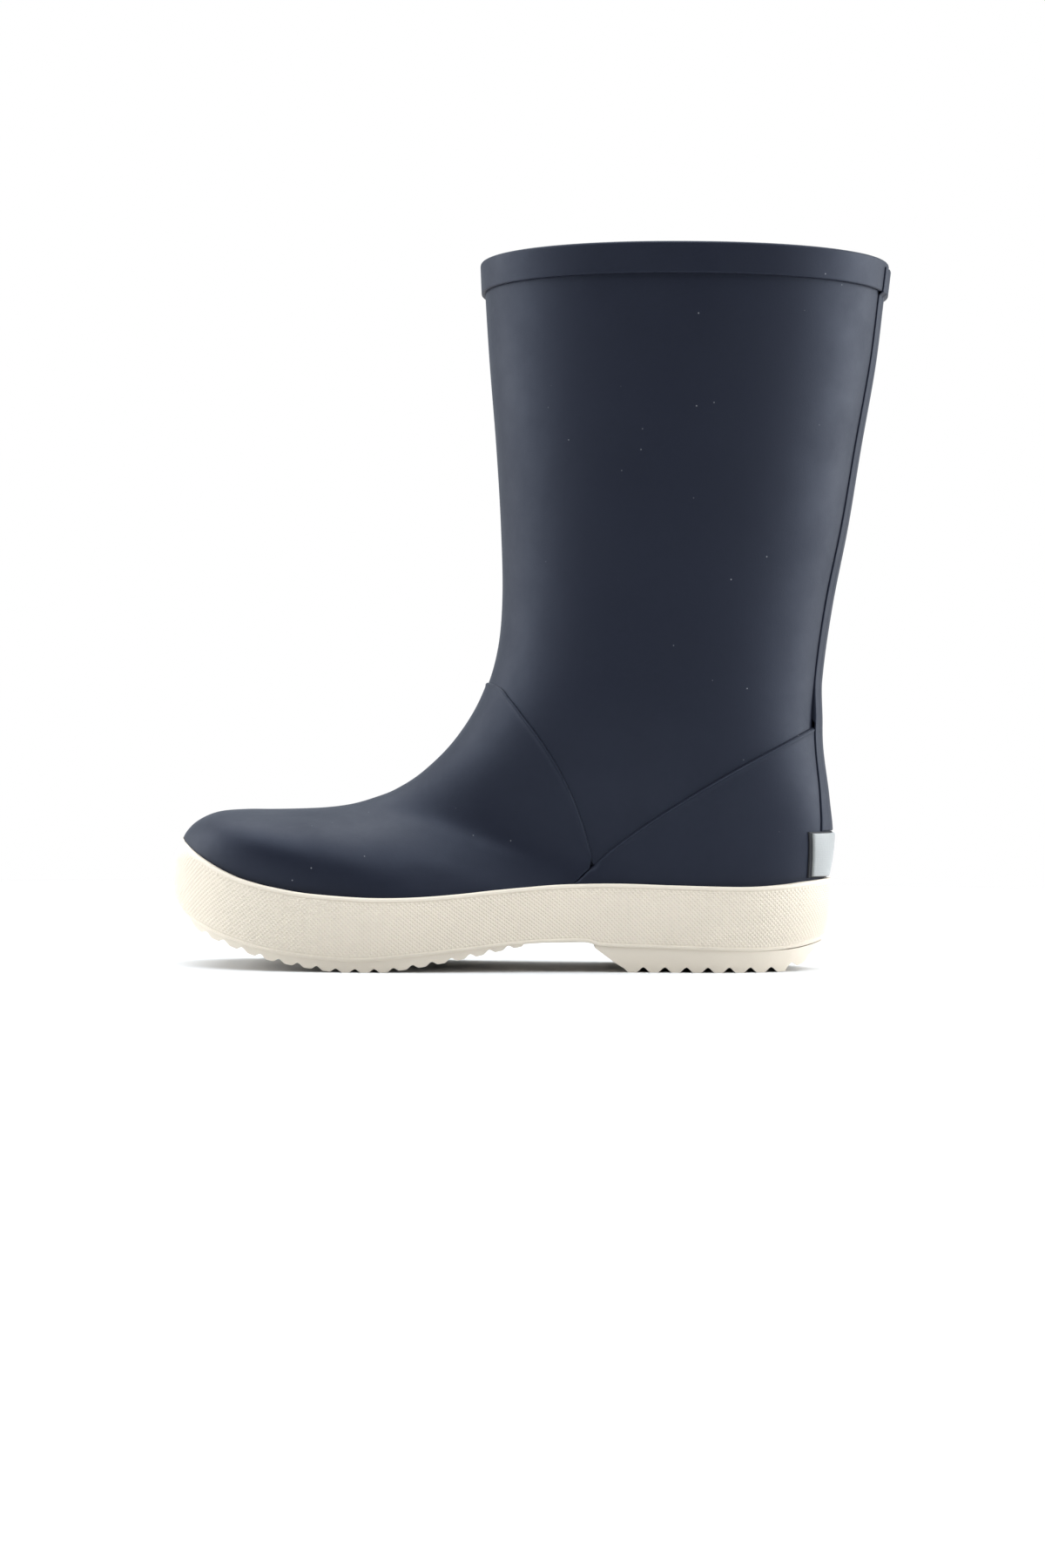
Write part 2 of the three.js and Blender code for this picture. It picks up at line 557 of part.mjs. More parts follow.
const PIECES = {
  leg_shell: [legShell, navyRubber],
  vamp: [vamp, navyRubber],
  heel_counter: [heelCounter, navyRubber],
  toe_puff: [toePuff, board],
  heel_stiffener: [heelStiffener, board],
  top_band: [topBand, navyRubber],
  back_strip: [backStrip, navyRubber],
  reflector_backing: [reflectorBacking, backing],
  reflective_patch: [reflectivePatch, film],
  leg_lining: [legLining, knit],
  foot_lining: [footLining, knit],
  back_seam_tape: [backSeamTape, fabric],
  insole_board: [insoleBoard, board],
  footbed: [footbed, foam],
  footbed_cover: [footbedCover, fabric],
  forefoot_filler: [forefootFiller, cork],
  heel_filler: [heelFiller, cork],
  shank: [shank, steel],
  foxing: [foxing, creamRubber],
  outsole: [outsole, creamRubber],
  heel_block: [heelBlock, creamRubber],
};

function toGeometry(body) {
  const { vertProperties, triVerts } = body.getMesh();
  const geometry = new THREE.BufferGeometry();
  geometry.setAttribute("position", new THREE.BufferAttribute(new Float32Array(vertProperties), 3));
  geometry.setIndex(new THREE.BufferAttribute(new Uint32Array(triVerts), 1));
  return geometry.toNonIndexed();
}

const boot = new THREE.Group();
for (const [name, [make, material]] of Object.entries(PIECES)) {
  const geometry = toGeometry(make());
  geometry.computeVertexNormals();
  const mesh = new THREE.Mesh(geometry, material);
  mesh.name = name;
  boot.add(mesh);
}

// Stand the boot on the ground with its footprint's middle at the origin.
const box = new THREE.Box3().setFromObject(boot);
boot.position.set(-(box.min.x + box.max.x) / 2, -(box.min.y + box.max.y) / 2, -box.min.z);

export default boot;
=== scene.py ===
"""Deck boot: the visible pieces and finishes of a lined rubber boot, built round its packed frame."""

import json
import math

import bmesh
import bpy
import numpy as np
from mathutils import Matrix, Vector
from mathutils.bvhtree import BVHTree


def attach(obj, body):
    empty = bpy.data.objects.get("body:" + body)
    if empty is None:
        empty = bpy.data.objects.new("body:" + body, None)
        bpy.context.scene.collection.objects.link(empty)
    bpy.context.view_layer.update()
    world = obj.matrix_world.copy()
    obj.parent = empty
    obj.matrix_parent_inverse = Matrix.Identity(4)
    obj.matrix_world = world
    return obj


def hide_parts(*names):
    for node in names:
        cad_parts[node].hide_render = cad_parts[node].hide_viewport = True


bl_info = {
    "name": "Deck boot",
    "version": (1, 0, 0),
    "blender": (4, 5, 0),
    "location": "View3D > Sidebar > Deck boot",
    "description": "Builds a rubber deck boot: panels, bands, knurled foxing, tread, linings and finishes",
    "category": "Add Mesh",
}

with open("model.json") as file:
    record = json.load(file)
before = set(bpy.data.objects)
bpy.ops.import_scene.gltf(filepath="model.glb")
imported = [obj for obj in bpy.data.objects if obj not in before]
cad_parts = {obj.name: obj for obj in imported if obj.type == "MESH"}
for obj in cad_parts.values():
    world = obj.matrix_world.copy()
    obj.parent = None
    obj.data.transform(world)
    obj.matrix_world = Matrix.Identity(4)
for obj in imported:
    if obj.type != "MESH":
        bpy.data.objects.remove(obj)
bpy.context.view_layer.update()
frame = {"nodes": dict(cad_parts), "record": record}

# ---------------------------------------------------------------- the last, in millimetres

# Front point, back point, outer and inner half width, where it is widest, and how square its ends are.
STATIONS = np.array([
    (-10, 280, 144.6, 280, 52.3, 52.3, 0.5, 2.15, 2.15),
    (-8.9, 256, 141.9, 256, 51, 51, 0.5, 2.15, 2.15),
    (-7, 229, 138.8, 229, 49.5, 49.5, 0.5, 2.15, 2.15),
    (-4.3, 198, 133.6, 198, 47.3, 47.3, 0.5, 2.15, 2.15),
    (-2.3, 168, 128.9, 168, 45, 45, 0.5, 2.15, 2.15),
    (-1.5, 140, 123.4, 139, 42.6, 42.6, 0.5, 2.15, 2.15),
    (-3.4, 119, 119.7, 112, 41.2, 40.8, 0.5, 2.15, 2.2),
    (-9.2, 101, 118.6, 88, 40, 39.4, 0.51, 2.15, 2.25),
    (-18.8, 85.5, 121.4, 65, 37.4, 36.4, 0.52, 2.12, 2.3),
    (-30.5, 73.6, 122.7, 48, 34.2, 33.2, 0.53, 2.1, 2.35),
    (-41, 66.6, 118.6, 29, 31.8, 30.8, 0.55, 2.1, 2.5),
    (-50, 63, 108.5, 16, 30.7, 29.6, 0.58, 2.1, 3.2),
    (-58, 60.7, 86, 14, 31.4, 28.8, 0.6, 2.1, 4.4),
    (-67, 59.4, 54, 15.4, 33.6, 29.2, 0.62, 2.15, 4.6),
    (-77, 58.8, 17, 16.4, 37.6, 32.6, 0.64, 2.2, 4.2),
    (-88, 58.5, -20, 12.8, 42.2, 37.4, 0.65, 2.3, 5),
    (-98.5, 58.4, -55, 9.6, 42, 39.6, 0.65, 2.4, 6.5),
    (-108.5, 57.4, -84, 11, 36.4, 36.6, 0.63, 2.5, 6),
    (-115.8, 54.2, -104, 16, 26.6, 30, 0.6, 2.5, 4.5),
    (-120.2, 50, -114.5, 22, 16.4, 22.4, 0.56, 2.4, 3.4),
    (-122.2, 45.6, -119.8, 28.5, 7, 14.4, 0.52, 2.3, 2.8),
    (-123, 41, -122.3, 34, 0.6, 7.4, 0.5, 2.2, 2.4),
])
SOLE_OUTLINE = np.array([
    (-126, 5), (-123.2, -11), (-117, -23), (-107.5, -33), (-95, -40.2), (-80, -45), (-62, -47.8),
    (-40, -47), (-15, -43), (10, -38.4), (35, -35.4), (60, -34.2), (84, -33.6), (101, -30.2),
    (114, -22.4), (122.5, -10.4), (125, 0), (122.5, 10.4), (114, 22.2), (101, 29.6), (84, 32.8),
    (60, 33.2), (35, 32.6), (10, 33.8), (-15, 37.6), (-40, 42), (-62, 44.4), (-80, 43.4),
    (-95, 40.6), (-107.5, 36), (-117, 28.8), (-123.2, 19),
])
FOXING_TOP = np.array([
    (-140, 50), (-126, 48.4), (-122, 46.6), (-117, 43.6), (-112, 40.6), (-105.6, 37.2), (-99, 34.4),
    (-92.6, 32.5), (-86, 31), (-73, 28.9), (-54, 27.5), (-41, 27.3), (-28, 27.8), (-15, 28.9),
    (-2.5, 30.3), (10, 31.5), (23, 32.5), (42, 32.9), (62, 32.4), (81, 32), (94, 32),
    (106, 32.8), (115, 33.9), (124, 34.7), (140, 34.9),
])
FOXING_BOTTOM = np.array([
    (-140, 48), (-130, 33), (-126, 27.3), (-122, 22.4), (-118, 18.8), (-114.5, 16.5), (-110, 14.4),
    (-104.5, 12.2), (-97, 9.8), (-88, 7.5), (-78, 5.9), (-66, 4.6), (-52, 4), (-38, 5.2), (-24, 6.7),
    (-9, 8.5), (1, 9.8), (10, 10.6), (17, 11), (30, 11.2), (38, 9.6), (60, 8.9), (90, 8), (105, 8.4),
    (115, 9.8), (125, 12.6), (140, 20),
])
TREAD_REACH = np.array([
    (-118, 17.6), (-114.5, 14.8), (-110, 12.3), (-104, 10), (-96, 7.1), (-88, 4.6), (-78, 2.5),
    (-68, 0.9), (-60, 0), (-44, 0), (-36, 1), (-28, 2.3), (-20, 3.8), (-12, 5.4), (-4, 7.2), (4, 8.9),
    (12, 10.2), (26, 10.8), (36, 10.8),
])
HEEL_REACH = np.array([(44, 0), (100, 0), (106, 0.9), (112, 2.6), (118, 6), (124, 10), (132, 14)])
VAMP_SEAM = np.array([
    (-30, 116), (-4.5, 107), (1.8, 101.2), (7, 94.4), (13.6, 85.5), (19.8, 75.8), (24.8, 66),
    (28.8, 55.8), (31.8, 46), (33.6, 39.8), (36, 28), (37, -20),
])
COUNTER_SEAM = np.array([
    (160, 104), (124, 95.6), (113.8, 90.8), (97, 81.8), (84, 74.6), (71, 66.9), (61, 60.6), (52, 54.6),
    (42, 47.3), (33.6, 40), (28.4, 34.8), (18, 24), (14, 0), (14, -20),
])
ANKLE_LINE = np.array([(-40, 92), (150, 70)])

MM = 0.001
DRAWN_CENTRE_X = 9.75
TO_FRAME = Matrix.Scale(MM, 4) @ Matrix.Translation((-DRAWN_CENTRE_X, 0, 0))
RIM = 267.0
RUBBER_IN = -1.5
VAMP_PROUD = 0.7
COUNTER_PROUD = 1.2
LINING_OUT = -1.8
LINING_IN = -2.8
BAND_OUT = 1.4
BAND_HEIGHT = 11.5
BAND_TURN_IN = 9.0
BAND_INNER_FACE = -4.2
SOLE_TUCK_LEVEL = 27.0
HEEL_TUCK = 8.0
FORE_TUCK = 2.6
TOE_LEAN = 3.2
FOXING_LAP = 5.0
SOLE_SIDE_INSET = 0.6
LASTED_INSET = 12.0
LASTED_LEVEL = 24.0
LASTED_FROM, LASTED_TO = -112.0, 108.0
HEEL_BREAST = 34.0


def smoothstep(x, low, high):
    t = np.clip((x - low) / (high - low), 0, 1)
    return t * t * (3 - 2 * t)


def catmull(points, i, t):
    """Uniform spline through rows of points, at t between row i and the next."""
    last = len(points) - 1
    a, b, c, d = (points[np.clip(i + k, 0, last)] for k in (-1, 0, 1, 2))
    t = np.asarray(t)[..., None]
    return b + 0.5 * t * ((c - a) + t * ((2 * a - 5 * b + 4 * c - d) + t * (3 * (b - c) + d - a)))


def smooth_line(points, steps=10):
    place = np.linspace(0, len(points) - 1, (len(points) - 1) * steps + 1)
    i = np.minimum(place.astype(int), len(points) - 2)
    return catmull(points, i, place - i)


def level(line, x):
    return np.interp(x, line[:, 0], line[:, 1])


TOP_LINE = smooth_line(FOXING_TOP)
BOTTOM_LINE = smooth_line(FOXING_BOTTOM)
TREAD_LINE = smooth_line(TREAD_REACH)
HEEL_LINE = smooth_line(HEEL_REACH)


def skin(s, u):
    """Outer face of the leg rubber: s runs from above the rim to the toe, u once round from the front."""
    s, u = np.broadcast_arrays(np.asarray(s, float), np.asarray(u, float))
    place = np.clip(s, 0, 1) * (len(STATIONS) - 1)
    i = np.minimum(place.astype(int), len(STATIONS) - 2)
    values = np.moveaxis(catmull(STATIONS, i, place - i), -1, 0)
    fx, fz, bx, bz, out, inn, wide, square_front, square_back = values
    c, d = np.cos(2 * np.pi * u), np.sin(2 * np.pi * u)
    n = square_back + (square_front - square_back) * (1 + c) / 2
    r = (np.abs(c) ** n + np.abs(d) ** n) ** (-1 / n)
    t = np.where(c > 0, wide * (1 - r * c), wide - (1 - wide) * r * c)
    return np.stack([fx + (bx - fx) * t, -r * d * np.where(d > 0, out, inn), fz + (bz - fz) * t], -1)


def on_last(s, u, offset):
    """The skin's point moved outwards by offset, square to the surface."""
    step = 0.004
    s, u = np.asarray(s, float), np.asarray(u, float)
    around = skin(s, u + step) - skin(s, u - step)
    down = skin(np.minimum(s + step, 1), u) - skin(np.maximum(s - step, 0), u)
    normal = np.cross(down, around)
    normal /= np.maximum(np.linalg.norm(normal, axis=-1, keepdims=True), 1e-9)
    normal = np.where((s > 1 - step)[..., None], np.array([-1.0, 0, 0]), normal)
    return skin(s, u) + normal * np.asarray(offset, float)[..., None]


# ---------------------------------------------------------------- seams on the last


def behind(line, points):
    """Above zero where a point lies behind a seam, in side view."""
    low_first = smooth_line(line)[::-1]
    return points[..., 0] - np.interp(points[..., 2], low_first[:, 1], low_first[:, 0])


def first_crossing(u, test, start=0.0, end=1.0, steps=1400):
    """For each u, the first s from start where test turns above zero; end where it never does."""
    s = np.linspace(start, end, steps)
    values = test(skin(s[None, :], np.asarray(u)[:, None]))
    hit = values > 0
    k = np.clip(np.argmax(hit, axis=1), 1, None)
    rows = np.arange(len(k))
    v0, v1 = values[rows, k - 1], values[rows, k]
    at = s[k - 1] + (s[k] - s[k - 1]) * np.clip(v0 / np.where(v0 == v1, 1, v0 - v1), 0, 1)
    return np.where(hit.any(axis=1), at, end)


def counter_start(u):
    return first_crossing(u, lambda p: behind(COUNTER_SEAM, p))


def counter_end(u):
    """Where a line down the boot leaves the counter again, towards the toe."""
    start = counter_start(u)
    s = np.linspace(0, 1, 1400)
    inside = behind(COUNTER_SEAM, skin(s[None, :], np.asarray(u)[:, None])) > 0
    last = len(s) - 1 - np.argmax(inside[:, ::-1], axis=1)
    return np.where(inside.any(axis=1), s[last], start)


def seam_meeting():
    """The u where the vamp's and the counter's seams meet on the boot's side."""
    u = np.linspace(0.2, 0.45, 400)
    crossed = counter_start(u) < 1
    return float(u[np.argmax(crossed)])


MEETING = seam_meeting()


def leg_end(u):
    """Where a line down the boot leaves the leg, at the vamp's or the counter's seam."""
    u = np.minimum(u % 1, 1 - u % 1)
    vamp = first_crossing(u, lambda p: -behind(VAMP_SEAM, p))
    return np.minimum(vamp, counter_start(u))


def vamp_start(u):
    u = np.minimum(u % 1, 1 - u % 1)
    vamp = first_crossing(u, lambda p: -behind(VAMP_SEAM, p))
    return np.where(u < MEETING, vamp, np.maximum(counter_end(u), 0))


def around(corners, counts):
    """u values that run through the corners with an even count between each two."""
    parts = [np.linspace(a, b, n, endpoint=False) for a, b, n in zip(corners, corners[1:], counts)]
    return np.concatenate([*parts, [corners[-1]]])


EDGE_ROWS = np.array([0, 0.1, 0.22, 0.36, 0.52, 0.7, 0.92, 1.2, 1.6, 2.2, 3.0, 4.2])


def rows_between(start, end, u, rows, finest_start=True, finest_end=False):
    """s values down each line from start to end, with close rows where an edge is rolled."""
    reach = np.maximum(end - start, 1e-6)
    step = 1e-3
    edge = []
    for at, sign, wanted in ((start, 1, finest_start), (end, -1, finest_end)):
        speed = np.linalg.norm(skin(at + step * sign, u) - skin(at, u), axis=-1) / step
        edge.append(EDGE_ROWS[:, None] / speed / reach if wanted else np.zeros((1, len(u))))
    first, last = edge[0], 1 - edge[1][::-1]
    squeeze = np.minimum(1, 0.4 / np.maximum(first[-1], 1e-9))
    first = first * squeeze
    squeeze_end = np.minimum(1, 0.4 / np.maximum(1 - last[0], 1e-9))
    last = 1 - (1 - last) * squeeze_end
    middle = rows + 1 - len(first) - len(last)
    t = np.linspace(0, 1, middle + 2)[1:-1, None]
    shares = np.concatenate([first, first[-1] + (last[0] - first[-1]) * t, last])
    return start + shares * (end - start)


def distance_to(line, points):
    """Shortest distance of each point from a polyline in space."""
    a, b = line[:-1], line[1:]
    ab = b - a
    best = np.full(len(points), np.inf)
    for block in range(0, len(points), 4000):
        p = points[block:block + 4000, None]
        t = np.clip(((p - a) * ab).sum(-1) / np.maximum((ab * ab).sum(-1), 1e-12), 0, 1)
        gap = np.linalg.norm(p - a - t[..., None] * ab, axis=-1)
        best[block:block + 4000] = gap.min(axis=1)
    return best


def rolled(distance, radius):
    """Rise of a rounded edge, from 0 at the edge to 1 at radius."""
    return np.sqrt(np.maximum(0, 1 - (1 - np.clip(distance / radius, 0, 1)) ** 2))


# ---------------------------------------------------------------- the sole's plan


def outline_curve(steps=24):
    """The sole's plan outline as evenly spaced points with their headings."""
    points = SOLE_OUTLINE
    count = len(points)
    out = []
    for i in range(count):
        p0, p1, p2, p3 = (points[(i + k) % count] for k in (-1, 0, 1, 2))
        d0, d1, d2 = (math.sqrt(np.linalg.norm(b - a)) for a, b in ((p0, p1), (p1, p2), (p2, p3)))
        m1 = ((p1 - p0) / d0 - (p2 - p0) / (d0 + d1) + (p2 - p1) / d1) * d1
        m2 = ((p2 - p1) / d1 - (p3 - p1) / (d1 + d2) + (p3 - p2) / d2) * d1
        t = np.linspace(0, 1, steps, endpoint=False)[:, None]
        out.append((2 * t**3 - 3 * t**2 + 1) * p1 + (t**3 - 2 * t**2 + t) * m1
                   + (3 * t**2 - 2 * t**3) * p2 + (t**3 - t**2) * m2)
    dense = np.concatenate(out)
    loop = np.concatenate([dense, dense[:1]])
    length = np.concatenate([[0], np.cumsum(np.linalg.norm(np.diff(loop, axis=0), axis=1))])
    shares = np.linspace(0, 1, 1441)
    even = np.stack([np.interp(shares * length[-1], length, loop[:, k]) for k in (0, 1)], -1)[:-1]
    heading = np.roll(even, -6, axis=0) - np.roll(even, 6, axis=0)
    heading /= np.linalg.norm(heading, axis=1, keepdims=True)
    return even, heading, float(length[-1])


OUTLINE, HEADING, PERIMETER = outline_curve()


def outline_point(share, inset):
    """Plan point of the sole's outline at a share of its length, moved inwards."""
    place = (np.asarray(share, float) % 1) * len(OUTLINE)
    i = place.astype(int) % len(OUTLINE)
    t = (place - place.astype(int))[..., None]
    j = (i + 1) % len(OUTLINE)
    point = OUTLINE[i] * (1 - t) + OUTLINE[j] * t
    heading = HEADING[i] * (1 - t) + HEADING[j] * t
    inward = np.stack([-heading[..., 1], heading[..., 0]], -1)
    return point + inward * np.asarray(inset, float)[..., None]


def tuck(x, z):
    """How far the sole's side tucks in below its widest level, and leans back onto the toe at its top."""
    share = np.maximum(0, (SOLE_TUCK_LEVEL - z) / SOLE_TUCK_LEVEL)
    back = smoothstep(x, 70, 122)
    lean = TOE_LEAN * smoothstep(z, 40, 49) * (1 - smoothstep(x, -124, -112))
    return FORE_TUCK * share**3 * (1 - back) + HEEL_TUCK * share**1.6 * back + lean


INSETS = np.arange(0, 13.0, 1.0)


def half_width_table():
    """Outer and inner y of the inset outline, by inset and x."""
    xs = np.linspace(-126, 125, 503)
    share = np.linspace(0, 1, 2881)
    table = []
    for inset in INSETS:
        p = outline_point(share, np.full(len(share), inset))
        lo, hi = p[:, 0].argmin(), p[:, 0].argmax()
        turned = np.roll(p[:-1], -lo, axis=0)
        turn = (hi - lo) % (len(p) - 1)
        outer, inner = turned[:turn + 1], turned[turn:][::-1]
        table.append([np.interp(xs, np.maximum.accumulate(outer[:, 0]), outer[:, 1]),
                      np.interp(xs, np.maximum.accumulate(inner[:, 0]), inner[:, 1]),
                      (p[:, 0].min(), p[:, 0].max())])
    return xs, table


WIDTH_X, WIDTH_TABLE = half_width_table()


def side_y(x, inset, outer):
    """y of the sole's side at x, for an inset of its outline."""
    place = np.clip(inset, 0, INSETS[-1] - 1e-6)
    i = place.astype(int)
    t = place - i
    rows = np.array([entry[0 if outer else 1] for entry in WIDTH_TABLE])
    at = np.clip((x - WIDTH_X[0]) / (WIDTH_X[1] - WIDTH_X[0]), 0, len(WIDTH_X) - 1.001)
    k = at.astype(int)
    f = at - k
    low = rows[i, k] * (1 - f) + rows[i, k + 1] * f
    high = rows[i + 1, k] * (1 - f) + rows[i + 1, k + 1] * f
    return low * (1 - t) + high * t


# ---------------------------------------------------------------- making meshes


def grid_mesh(columns, rows, ring=False, tube=False, cut=None, thick=False):
    """A grid whose vertices keep their column, row and depth. ring joins its sides, tube its ends;
    cut takes away faces by the middle column and row; thick gives it a second face."""
    bm = bmesh.new()
    bmesh.ops.create_grid(bm, x_segments=columns, y_segments=rows, size=0.5)
    column = bm.verts.layers.int.new("column")
    row = bm.verts.layers.int.new("row")
    depth = bm.verts.layers.int.new("depth")
    for v in bm.verts:
        v[column] = round((v.co.x + 0.5) * columns)
        v[row] = round((v.co.y + 0.5) * rows)
    if cut is not None:
        middle = {f: [np.mean([v[k] for v in f.verts]) for k in (column, row)] for f in bm.faces}
        gone = [f for f in bm.faces if cut(*middle[f])]
        bmesh.ops.delete(bm, geom=gone, context="FACES")
    for v in bm.verts:
        a, b = 2 * math.pi * v[column] / columns, 2 * math.pi * v[row] / rows
        wide = 2 + math.cos(b) if tube else 1
        if ring:
            v.co = (wide * math.cos(a), wide * math.sin(a), math.sin(b) if tube else v[row] / rows)
        elif tube:
            v.co = (math.cos(b), math.sin(b), v[column] / columns)
    if ring or tube:
        bmesh.ops.remove_doubles(bm, verts=bm.verts, dist=1e-5)
    if thick:
        made = bmesh.ops.extrude_face_region(bm, geom=bm.faces[:])["geom"]
        for v in made:
            if isinstance(v, bmesh.types.BMVert):
                v[depth] = 1
    return bm


def place(bm, where):
    """Moves every vertex to where(column, row, depth), in drawn millimetres."""
    layers = [bm.verts.layers.int[name] for name in ("column", "row", "depth")]
    values = np.array([[v[k] for k in layers] for v in bm.verts])
    for v, point in zip(bm.verts, where(*values.T)):
        v.co = point


def keep_piece(bm, name, slot, *nodes, crease=32.0):
    """Makes the finished mesh a piece of the boot that stands for its CAD nodes."""
    bmesh.ops.transform(bm, matrix=TO_FRAME, verts=bm.verts)
    bmesh.ops.remove_doubles(bm, verts=bm.verts, dist=2e-6)
    bmesh.ops.dissolve_degenerate(bm, edges=bm.edges, dist=1e-6)
    bmesh.ops.recalc_face_normals(bm, faces=bm.faces)
    mesh = bpy.data.meshes.new(name)
    bm.to_mesh(mesh)
    bm.free()
    mesh.shade_smooth()
    mesh.set_sharp_from_angle(angle=math.radians(crease))
    piece = bpy.data.objects.new(name, mesh)
    bpy.context.scene.collection.objects.link(piece)
    mesh.materials.append(finish_of(slot))
    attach(piece, "root")
    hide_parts(*nodes)
    return piece


def lasted_cut(s_rows, u_columns):
    """Test for faces of a skin sheet that lie inside the lasting margin under the foot."""

    def gone(column, row):
        i, j = int(column), int(row)
        p = skin(s_rows[j, i], u_columns[i])
        if p[2] > LASTED_LEVEL or not LASTED_FROM < p[0] < LASTED_TO:
            return False
        low, high = (side_y(p[:1], np.array([LASTED_INSET]), outer)[0] for outer in (True, False))
        return low < p[1] < high

    return gone


def skin_sheet(s_rows, u_columns, outer, inner, ring=False, cut=None):
    """A skin of the last between two offsets; s_rows is rows by columns, outer may be an array like it."""
    rows, columns = s_rows.shape[0] - 1, s_rows.shape[1] - 1
    outer = np.broadcast_to(outer, s_rows.shape)
    inner = np.broadcast_to(inner, s_rows.shape)
    bm = grid_mesh(columns, rows, ring=ring, cut=cut, thick=True)

    def where(i, j, deep):
        return on_last(s_rows[j, i], u_columns[i], np.where(deep == 1, inner[j, i], outer[j, i]))

    place(bm, where)
    return bm


EDGE_BEAD, EDGE_BEAD_IN, EDGE_BEAD_WIDTH = 0.22, 0.9, 0.55


def edge_offsets(s_rows, u_columns, edge, base, proud, radius):
    """Outer offsets of a panel whose edge is rolled down onto its neighbour."""
    points = skin(s_rows, u_columns[None, :]).reshape(-1, 3)
    distance = distance_to(edge, points)
    bead = EDGE_BEAD * np.exp(-((distance - EDGE_BEAD_IN) / EDGE_BEAD_WIDTH) ** 2)
    return (base + (proud - base + bead) * rolled(distance, radius)).reshape(s_rows.shape)


# ---------------------------------------------------------------- finishes


def node(tree, kind, inputs=None, **settings):
    """A shader node with its settings and inputs; an input that is a socket is linked."""
    made = tree.nodes.new(kind)
    for key, value in settings.items():
        setattr(made, key, value)
    for key, value in (inputs or {}).items():
        if isinstance(value, bpy.types.NodeSocket):
            tree.links.new(value, made.inputs[key])
        else:
            made.inputs[key].default_value = value
    return made


def mix_colour(tree, share, a, b):
    made = node(tree, "ShaderNodeMix", data_type="RGBA", blend_type="MIX")
    for key, value in ((0, share), (6, a), (7, b)):
        if isinstance(value, bpy.types.NodeSocket):
            tree.links.new(value, made.inputs[key])
        else:
            made.inputs[key].default_value = value
    return made.outputs[2]


def maths(tree, operation, *values):
    made = node(tree, "ShaderNodeMath", operation=operation)
    for i, value in enumerate(values):
        if isinstance(value, bpy.types.NodeSocket):
            tree.links.new(value, made.inputs[i])
        else:
            made.inputs[i].default_value = value
    return made.outputs[0]


def times(tree, a, b):
    return maths(tree, "MULTIPLY", a, b)


def plus(tree, a, b):
    return maths(tree, "ADD", a, b)


def ranged(tree, value, low, high, to_low, to_high):
    made = node(tree, "ShaderNodeMapRange",
                {"Value": value, "From Min": low, "From Max": high, "To Min": to_low, "To Max": to_high})
    return made.outputs[0]


def noise(tree, place_at, scale, detail=3.0, roughness=0.55):
    made = node(tree, "ShaderNodeTexNoise",
                {"Vector": place_at, "Scale": scale, "Detail": detail, "Roughness": roughness})
    return made.outputs["Fac"]


def rgba(colour, gain=1.0):
    return (colour[0] * gain, colour[1] * gain, colour[2] * gain, 1.0)


def bump(tree, height, strength, distance, normal=None):
    inputs = {"Height": height, "Strength": strength, "Distance": distance}
    if normal is not None:
        inputs["Normal"] = normal
    return node(tree, "ShaderNodeBump", inputs).outputs[0]


def new_finish(name, **shader):
    """A material with a principled shader; its even values are set on the sockets. Returns it and its tree."""
    finish = bpy.data.materials.new(name)
    finish.use_nodes = True
    tree = finish.node_tree
    tree.nodes.clear()
    output = node(tree, "ShaderNodeOutputMaterial")
    inputs = {key.replace("_", " "): value for key, value in shader.items()}
    principled = node(tree, "ShaderNodeBsdfPrincipled", inputs)
    tree.links.new(principled.outputs[0], output.inputs[0])
    at = node(tree, "ShaderNodeTexCoord").outputs["Object"]
    return finish, tree, principled, at


def moulded_rubber(name, colour, roughness, specular, mottle, speck, grain, grain_height, tint=(1, 1, 1)):
    """Matt moulded rubber: slight mottling, fine grain, a soft unevenness and sparse dust."""
    finish, tree, shader, at = new_finish(name, IOR=1.45, Specular_IOR_Level=specular, Specular_Tint=rgba(tint))
    broad = noise(tree, at, 16.0, 2.0)
    fine = noise(tree, at, 420.0, 4.0, 0.6)
    patches = ranged(tree, broad, 0.3, 0.7, 0, 1)
    base = mix_colour(tree, patches, rgba(colour, 1 - mottle), rgba(colour, 1 + mottle))
    dust_cells = node(tree, "ShaderNodeTexVoronoi", {"Vector": at, "Scale": 150.0, "Randomness": 1.0})
    chance = node(tree, "ShaderNodeSeparateColor", {0: dust_cells.outputs["Color"]}).outputs[0]
    picked = ranged(tree, chance, 0.7, 0.95, 0, 1)
    spot = ranged(tree, dust_cells.outputs["Distance"], 0.02, 0.05, 1, 0)
    dust = times(tree, times(tree, picked, spot), speck)
    base = mix_colour(tree, dust, base, (0.42, 0.43, 0.45, 1.0))
    tree.links.new(base, shader.inputs["Base Color"])
    wear = noise(tree, at, 55.0, 3.0)
    rough = ranged(tree, plus(tree, times(tree, wear, 0.7), times(tree, fine, 0.3)),
                   0.3, 0.7, roughness - 0.05, roughness + 0.06)
    tree.links.new(rough, shader.inputs["Roughness"])
    soft = bump(tree, noise(tree, at, 48.0, 2.0), 0.25, 0.0006)
    tree.links.new(bump(tree, noise(tree, at, grain, 2.0), 0.5, grain_height, soft), shader.inputs["Normal"])
    return finish


